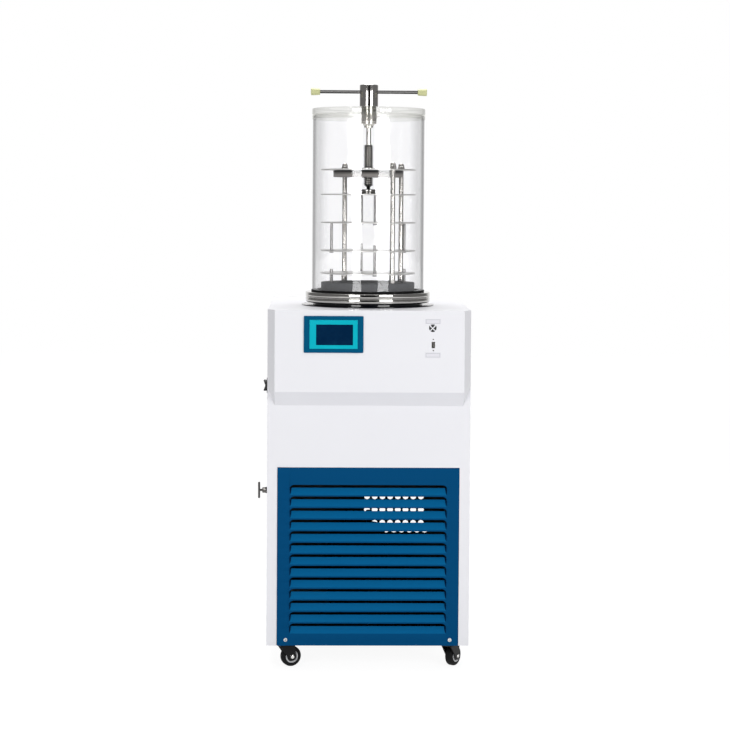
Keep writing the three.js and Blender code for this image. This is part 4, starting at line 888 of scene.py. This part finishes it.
# %% Rack base, columns, top plate and block
def round_place(distance, degrees):
    """A place on a circle about the chamber's axis, at an angle from the front."""
    a = math.radians(degrees)
    return AXIS + distance * np.array([math.sin(a), -math.cos(a)])


column_spots = [round_place(103, turn) for turn in (34.5, 124.5, 214.5)]
upper_pair = [round_place(93, turn) for turn in (9, 189)]
lower_pair = [round_place(93, turn) for turn in (99, 279)]
_, base_low, base_high = extent("rack_base")
BASE_TOP = base_low + 23
pins = [turned(soften([(0, BASE_TOP - 1), (4, BASE_TOP - 1), (4, base_high, 0.8),
                       (0, base_high)], 0.5), (*spot, 0), steps=24) for spot in lower_pair]
lathe("rack_foot", [(75, base_low), (117.5, base_low, 0.6), (117.5, BASE_TOP, 1.2),
                    (75, BASE_TOP)], 0.8, 128, GREY_ALLOY, "rack_alloy", "rack_base")
form("rack_foot_pins", pins, ROD_STEEL, "rack_alloy")

top_z = place("rack_top_plate")[0][2] / MM
for letter, spot in zip("abc", column_spots):
    name = "column_" + letter
    _, z0, z1 = extent(name)
    foot, shoulder = BASE_TOP + 0.3, place("shelf_4")[0][2] / MM + 3.7
    shaft = turned(soften([(0, z0), (4, z0), (4, foot, 0), (7.5, foot, 0.4),
                           (7.5, foot + 9, 0), (7.0, foot + 9.5, 0.3),
                           (7.5, foot + 10, 0), (7.5, shoulder, 0.8), (6, shoulder, 0.2),
                           (6, top_z - 0.3, 0.5), (4, top_z - 0.3, 0), (4, z1, 0.6),
                           (0, z1)], 0.4), (*spot, 0), steps=40)
    form("shaft_" + letter, [shaft], COLUMN_STEEL, "satin_steel", name)
    nut_name = "column_nut_" + letter
    _, z0, z1 = extent(nut_name)
    nut = turned([(4.3, z0), (7.6, z0), (8.7, z0 + 0.5), (8.7, z0 + 5.6), (7.9, z0 + 6.4),
                  (7.5, z0 + 6.7), (7.5, z0 + 9)]
                 + [(7.5 * math.cos(t), z0 + 9 + (z1 - z0 - 9) * math.sin(t))
                    for t in np.linspace(0.15, 1.5, 8)]
                 + [(0.02, z1), (0.02, z0 + 10), (4.3, z0 + 9.5)],
                 (*spot, 0), steps=48, apothem=7.4)
    form("dome_nut_" + letter, [nut], NUT_STEEL, "polished_steel", nut_name)

_, z0, z1 = extent("rack_top_plate")
holes = [(*spot, 4.4) for spot in column_spots] + [(*AXIS, 13)]
form("rack_top", drilled_disc(119, holes, z0, z0 + 3, 0.5), SHELF_STEEL, "polished_steel",
     "rack_top_plate")
lathe("rack_top_collar", [(13, z0 + 2.6), (18, z0 + 2.6), (18, z1, 0.6), (13, z1)],
      0.3, 64, POLISHED, "polished_steel")
radius, z0, z1 = extent("screw_block")
lathe("press_block", [(12.4, z0), (radius, z0, 1.0), (radius, z1, 1.0), (12.4, z1)],
      0.6, 128, BLOCK_GREY, "satin_steel", "screw_block")
print("columns", [spot.round(1).tolist() for spot in column_spots])


# %% [markdown]
# ## Shelves
# Each shelf carries the next one on two headed rods, so that the rack closes like a
# telescope when the press pushes it down.


# %% Shelves with their rods
def rod(spot, radius, z0, z1, head_radius=0.0, head_height=0.0):
    """A rod between two heights whose foot may have a round head with a chamfer."""
    if head_radius:
        profile = [(0, z0), (head_radius, z0, 0.8), (head_radius, z0 + head_height, 0.5),
                   (radius, z0 + head_height, 0.3), (radius, z1, 0.3), (0, z1)]
    else:
        profile = [(0, z0), (radius, z0, 0.5), (radius, z1, 0.7), (0, z1)]
    return turned(soften(profile, 0.3), (*spot, 0), steps=24)


def shelf_level(number):
    """The middle height of a shelf's plate. The rods stand out below or above it."""
    low_z, high_z = place(f"shelf_{number}")[:, 2] / MM
    return high_z - 1.5 if number < 4 else low_z + 4 + 1.5


LEVELS = {n: shelf_level(n) for n in (1, 2, 3, 4)}
column_holes = [(*spot, 6.9) for spot in column_spots]
shelf_holes = {1: [], 2: [(*s, 3.8) for s in upper_pair],
               3: [(*s, 3.8) for s in upper_pair + lower_pair],
               4: [(*s, 4.7) for s in lower_pair]}
shelf_rods = {
    1: [rod(s, 3.1, LEVELS[2] - 5.8, LEVELS[1] - 1.4, 5, 4) for s in upper_pair],
    2: [rod(s, 3.1, LEVELS[3] - 5.8, LEVELS[2] - 1.4, 5, 4) for s in lower_pair],
    3: [],
    4: [rod(s, 3.1, LEVELS[4] + 1.4, LEVELS[3] + 15.5) for s in upper_pair]
       + [rod(s, 5, LEVELS[4] - 5.5, LEVELS[4] - 1.4) for s in upper_pair],
}
for n in (1, 2, 3, 4):
    body = "machine" if n == 4 else "press_carriage"
    disc = drilled_disc(119, column_holes + shelf_holes[n], LEVELS[n] - 1.5,
                        LEVELS[n] + 1.5, 0.5)
    form(f"shelf_plate_{n}", disc, SHELF_STEEL, "polished_steel", f"shelf_{n}", body=body)
    if shelf_rods[n]:
        form(f"shelf_rods_{n}", shelf_rods[n], ROD_STEEL, "satin_steel", body=body)
print("shelf levels", {n: round(v, 1) for n, v in LEVELS.items()})

# %% [markdown]
# ## Press screw
# A thread could be a curve with a profile, but its ends would stay open. A height on a
# cylinder is simpler: the radius at each point depends only on how far along one pitch it
# lies, counted from the turn at that angle.

# %% Lead screw and foot
_, z0, z1 = extent("lead_screw")
CREST, ROOT, THREAD_PITCH, BORE = 12.0, 8.6, 5.0, 6.5
steps = 72
thread_foot = centre("screw_block")[2] - 8.25 - 22
rows = np.linspace(thread_foot, z1, int((z1 - thread_foot) * 3.2))
angle = np.linspace(0, 2 * np.pi, steps, endpoint=False)[:, None]
share = np.mod(rows[None, :] / THREAD_PITCH - angle / (2 * np.pi), 1.0)
tooth = np.clip((0.36 - np.abs(share - 0.5)) / 0.14, 0, 1)
taper = np.clip(np.minimum(rows - thread_foot, z1 - rows) / 1.6, 0, 1)[None, :]
thread_radius = (ROOT - 0.6) + (0.6 + (CREST - ROOT) * tooth) * taper


neck = soften([(0, z0), (7.5, z0, 0.4), (7.5, z0 + 3, 0.4), (4.5, z0 + 3, 0.5),
               (4.5, thread_foot - 2.5, 0.5), (ROOT - 0.6, thread_foot, 0)], 0.3)[:-1]
bore_rows = np.array([(BORE + 0.4, z1), (BORE, z1 - 0.4), (BORE, thread_foot + 6.9),
                      (BORE - 0.4, thread_foot + 6.5), (0, thread_foot + 6.5)])
radii = np.hstack([neck[None, :, 0] + 0 * angle, thread_radius,
                   bore_rows[None, :, 0] + 0 * angle])
heights = np.concatenate([neck[:, 1], rows, bore_rows[:, 1]])[None, :] + 0 * angle
points = np.stack([AXIS[0] + radii * np.cos(angle), AXIS[1] + radii * np.sin(angle), heights],
                  axis=-1)
form("threaded_screw", [(points, grid_faces(steps, heights.shape[1], True))], SCREW_STEEL,
     "satin_steel", "lead_screw", body="screw", sharp=55)

_, z0, z1 = extent("press_foot")
lathe("pressure_foot", [(0, z0), (18.3, z0, 1.0), (18.3, z0 + 3.4, 0.4), (17.2, z0 + 4, 0.3),
                        (17.2, z0 + 5, 0.3), (18.3, z0 + 5.6, 0.4), (18.3, z1, 1.4),
                        (5.0, z1, 0.3), (5.0, z1 - 4, 0), (8.1, z1 - 4, 0),
                        (8.1, z1 - 7.6, 0), (0, z1 - 7.6)],
      0.5, 64, TURNED, "satin_steel", "press_foot", body="press_carriage")
print("screw rows", len(rows))

# %% [markdown]
# ## Hub and handle
# The hub seals the rod in the lid. The cap above it holds the cross bar, whose ends carry
# tapered plastic knobs.

# %% Hub, nut, cap, rod, bar and knobs
_, z0, z1 = extent("hub_boss")
lathe("hub", [(6.5, z0), (11.5, z0, 0.8), (11.5, z0 + 5, 0.3), (13.5, z0 + 6, 0.5),
              (14.5, z0 + 8.7, 0.3), (19, z0 + 8.7, 1.0), (19, z1 - 7, 0.3),
              (18.4, z1 - 6.5, 0.2), (18.4, z1 - 5.8, 0.2), (19, z1 - 5.3, 0.3),
              (19, z1, 0.6), (6.5, z1)],
      0.4, 72, HUB_STEEL, "polished_steel", "hub_boss")
_, z0, z1 = extent("hub_nut")
lathe("hub_ring", [(19.3, z0), (20.4, z0, 0.5), (20.9, z0 + 0.8, 0.4), (20.9, z0 + 2.4, 0.5),
                   (19.9, z0 + 3.0, 0.3), (19.9, z0 + 5.6, 0.3), (22.2, z0 + 6.2, 0.4),
                   (22.2, z0 + 8.4, 0.6), (20.5, z0 + 9.2, 0.3), (20.5, z1, 0.4),
                   (19.3, z1)],
      0.3, 72, RING_STEEL, "satin_steel", "hub_nut")
radius, z0, z1 = extent("handle_cap")
lathe("cap", [(0, z0), (radius, z0, 0.8), (radius, z1, 2.2), (0, z1)],
      0.5, 96, CAP_STEEL, "polished_steel", "handle_cap", body="handle", arc=6)
_, z0, z1 = extent("drive_rod")
lathe("drive_shaft", [(0, z0), (6, z0, 0.6), (6, z1, 0.6), (0, z1)],
      0.4, 40, COLUMN_STEEL, "polished_steel", "drive_rod", body="handle")

bar_low, bar_high = place("t_bar") / MM
bar_middle = (*AXIS, (bar_low[2] + bar_high[2]) / 2)
reach = (bar_high[0] - bar_low[0]) / 2
cross = soften([(0, -reach), (4.25, -reach, 0.6), (4.25, reach, 0.6), (0, reach)], 0.4)
form("cross_bar", [turned(cross, bar_middle, "x", 40)], CROSS_STEEL, "polished_steel",
     "t_bar", body="handle")
inner = reach - 15.0
knob = soften([(0, inner), (7.8, inner, 0.6), (8.3, inner + 2.2, 0.6), (9.25, inner + 20, 0.8),
               (9.1, inner + 22, 1.2), (7.0, inner + 23, 0.8), (0, inner + 23)], 0.5, 5)
for name, side in (("knob_left", -1), ("knob_right", 1)):
    form(name + "_cap", [turned(knob * [1, side], bar_middle, "x", 48)], KNOB,
         "knob_plastic", name, body="handle")
print("bar reach", round(reach, 1))

# %% [markdown]
# ## Switch, drain valve, port and inlet
# These small parts keep the engineering model's shapes, with their edges rounded, except
# for the turned ones, which are made smooth.

# %% Small parts of the sides
softened("switch_bezel", BLACK, "black_plastic", 0.4)
softened("switch_rocker", BLACK_PAINT, "black_plastic", 0.5, "switch", 3)
softened("drain_valve_body", BAR_STEEL, "satin_steel", 0.3)
softened("drain_valve_handle", BAR_STEEL, "satin_steel", 0.3, "drain_lever")
softened("power_inlet", BLACK, "black_plastic", 0.4)
softened("buzzer", BLACK, "black_plastic", 0.2)
softened("usb_socket", DARK_STEEL, "satin_steel", 0.15, segments=1)

port_middle = centre("vacuum_port")
port_back = place("vacuum_port")[1][1] / MM
PORT_LENGTH = 85
port_front = port_back - PORT_LENGTH
port = turned(soften([(12.5, port_front), (14.3, port_front), (14.3, port_back - 24.7),
                      (18.3, port_back - 24.7, 0.5), (18.3, port_back - 21.7, 0.5),
                      (14.3, port_back - 21.7, 0.8), (14.3, port_back - 6, 1.0),
                      (20, port_back - 3, 0.4), (20, port_back, 0.5), (16.5, port_back),
                      (16.2, port_back - 0.9, 0.2), (13.4, port_back - 0.9, 0.2),
                      (13.1, port_back), (12.5, port_back)], 0.3),
              (port_middle[0], 0, port_middle[2]), "y", 64)
form("pump_port", [port], POLISHED, "polished_steel", "vacuum_port")
print("port at", port_middle.round(1))

# %% [markdown]
# ## Casters
# A tread of black rubber runs on a grey rim and a black web, inside a black pressed fork.

# %% Wheels and forks
UPRIGHT = np.array([0.0, 0.0, 1.0])


def joint_named(name):
    return next(joint for joint in frame["joints"] if joint["name"] == name)


def fork_patches(corner, hub_at):
    """A pressed fork: two cheeks that narrow from the crown to the axle, the crown's plate
    over the wheel, and the round housing of the swivel bearing on top."""
    pivot = np.array([*joint_named("swivel_" + corner)["pos_m"][:2], 0.0]) / MM
    trail = hub_at * [1, 1, 0] - pivot
    reach = np.linalg.norm(trail)
    along = trail / reach
    aside = np.cross(along, UPRIGHT)
    crown = 2 * wheel_radius + 2
    turn = np.radians(np.linspace(216, 369, 16))
    arc = np.stack([reach + 10 * np.cos(turn), wheel_radius + 10 * np.sin(turn)], -1)
    cheek = np.vstack([arc, [[reach + 6.4, crown + 1.2], [reach + 5, crown + 2.9],
                             [-14, crown + 2.9], [-15, crown + 1.2]]])
    patches = [slab(cheek, pivot, (along, UPRIGHT, aside),
                    [(side * 11.9, 0.5), (side * 12.3, 0), (side * 13.8, 0),
                     (side * 14.4, 0.7)]) for side in (-1, 1)]
    width, depth = reach + 21, 28.8
    plate = [(width - 1, depth - 1, 3, crown), (width, depth, 3.5, crown + 0.5),
             (width, depth, 3.5, crown + 2.4), (width - 1.2, depth - 1.2, 3, crown + 3)]
    patches.append(tray(pivot + along * (reach - 9) / 2, plate, (along, -aside, UPRIGHT)))
    top = extent("fork_" + corner)[2]
    housing = soften([(0, crown + 2), (18.6, crown + 2), (17, top, 0.8), (0, top)], 0.5)
    return patches + [turned(housing, pivot, steps=48)]


WHEEL_PARTS = (
    ("tyre_", [(15.6, -9.8), (17.5, -10.6, 0.6), (23.4, -8.4, 1.5), (25, -5.5, 1.5),
               (25, 5.5, 1.5), (23.4, 8.4, 1.5), (17.5, 10.6, 0.6), (15.6, 9.8)], 0.6, RUBBER),
    ("wheel_rim_", [(11.4, -8.6), (12.2, -10.2, 0.8), (15.4, -10.2, 0.5), (15.7, -9.6, 0.2),
                    (15.7, 9.6, 0.2), (15.4, 10.2, 0.5), (12.2, 10.2, 0.8), (11.4, 8.6)],
     0.4, HUB_GREY),
    ("wheel_web_", [(3.5, -9.4), (5.5, -9.4, 0.6), (6.4, -7.4, 0.5), (11.4, -7.4, 0.3),
                    (11.4, 7.4, 0.3), (6.4, 7.4, 0.5), (5.5, 9.4, 0.6), (3.5, 9.4)],
     0.4, BLACK),
)
AXLE_END = soften([(0, 14.2), (4.6, 14.2, 0.4), (4.6, 15.4, 0.6), (2.4, 16.0, 0.5),
                   (0, 16.2)], 0.3)
NOMINAL_RADIUS = 25  # of the wheel that the profiles above were drawn for
wheel_radius = place("wheel_front_left")[1][2] / MM / 2
for corner in ("front_left", "front_right", "rear_left", "rear_right"):
    axle = np.array(joint_named("roll_" + corner)["axis"], float)
    axes = np.array([np.cross(UPRIGHT, axle), UPRIGHT, axle])
    hub_at = centre("wheel_" + corner)
    form("pressed_fork_" + corner, fork_patches(corner, hub_at), FORK_BLACK,
         "black_plastic", "fork_" + corner, body="caster_" + corner)
    for prefix, profile, rounding, finish in WHEEL_PARTS:
        ring = soften(profile, rounding) * [wheel_radius / NOMINAL_RADIUS, 1]
        stands_for = ["wheel_" + corner] if prefix == "tyre_" else []
        form(prefix + corner, [turned(ring, hub_at, axes, 72)], finish, "wheel_tread",
             *stands_for, body="roller_" + corner)
    ends = [turned(AXLE_END * [1, side], hub_at, axes, 24) for side in (-1, 1)]
    form("axle_ends_" + corner, ends, POLISHED, "polished_steel", body="caster_" + corner)
print("wheel radius", round(wheel_radius, 2))

# %% [markdown]
# ## Machinery
# Behind the louvres stand the compressor, the condenser and its fan. They are seen only as
# hints through the slots.

# %% Finishes of the machinery
paint(nodes["cold_trap"].data, POLISHED)
for node in ("compressor", "condenser", "fan_shroud", "fan_rotor"):
    paint(nodes[node].data, PRIMER)
print("machinery painted")

# %% [markdown]
# ## Studio
# Two tall soft lamps stand left and right of the camera. They light the white steel evenly
# and show as upright bands in the acrylic and the metal. Behind the machine everything is
# white, and the rest of the studio is dim, so that metal has something dark to mirror.


# %% Lamps
def lamp(name, degrees, distance, height, width, tall, power, aim=0.95):
    """A soft box at an angle from the front, aimed at a height on the chamber's axis."""
    a = math.radians(degrees)
    axis = AXIS * MM
    at = Vector((axis[0] + distance * math.sin(a), axis[1] - distance * math.cos(a), height))
    light = bpy.data.lights.new(name, "AREA")
    light.shape = "RECTANGLE"
    light.size, light.size_y = width, tall
    light.energy = power
    thing = bpy.data.objects.new(name, light)
    direction = Vector((*axis, aim)) - at
    turned_to = direction.to_track_quat("-Z", "Y").to_matrix().to_4x4()
    thing.matrix_world = Matrix.Translation(at) @ turned_to
    bpy.context.scene.collection.objects.link(thing)


lamp("left_softbox", -25.0, 3.2, 1.27, 1.07, 0.95, 26.0)
lamp("right_softbox", 32.0, 3.2, 1.27, 1.36, 0.95, 31.0)
lamp("overhead_softbox", 180.0, 0.5, 2.9, 1.2, 0.8, 31.0)

# %% World and floor
world = bpy.data.worlds.new("studio")
bpy.context.scene.world = world
world.use_nodes = True
sky = Shader.__new__(Shader)
sky.tree = world.node_tree
sky.tree.nodes.clear()
rays = sky.add("LightPath")
straight = (sky.signal(rays, "Is Camera Ray") + sky.signal(rays, "Is Transmission Ray"))
straight = straight.math("MINIMUM", 1.0)
mirrored = sky.signal(rays, "Is Glossy Ray")
side, depth, rise = sky.parts(sky.add("TexCoord").outputs["Generated"])
backdrop = depth.ramp(0.72, 0.9)
ceiling = rise.ramp(0.75, 0.97)
front_gap = (0.0 - depth).ramp(0.955, 0.975)
dim = 0.2 - front_gap * 0.19
glossy_level = dim + (1 - dim) * backdrop.math("MAXIMUM", ceiling * 0.9)
plain_level = rise.ramp(0.0, 1.0) * 0.75 + 0.08
level = straight + (1 - straight) * (mirrored * glossy_level + (1 - mirrored) * plain_level)
background = sky.add("Background", Strength=level, Color=(1.0, 1.0, 1.0, 1.0))
sky.add("OutputWorld", Surface=background.outputs[0])

floor_shader = Shader("pale_floor")
matt = floor_shader.add("BsdfDiffuse", Color=(0.7, 0.7, 0.71, 1.0))
white = floor_shader.add("Emission", Strength=1.26)
rays = floor_shader.add("LightPath")
seen = floor_shader.signal(rays, "Is Camera Ray") + floor_shader.signal(rays, "Is Glossy Ray")
seen = (seen + floor_shader.signal(rays, "Is Transmission Ray")).math("MINIMUM", 1.0)
floor_mix = floor_shader.mixed(seen * 0.7, matt, white)
floor_finish = floor_shader.surface(floor_mix.outputs[0])
half_floor = 9000.0
floor_points = np.array([[-1, -1, 0], [1, -1, 0], [1, 1, 0], [-1, 1, 0]]) * half_floor
floor_mesh = make_mesh("floor", (floor_points, [[0, 1, 2, 3]]), closed=False)
floor_mesh.materials.append(floor_finish)
floor = bpy.data.objects.new("floor", floor_mesh)
bpy.context.scene.collection.objects.link(floor)
bpy.context.scene.view_settings.view_transform = "Standard"
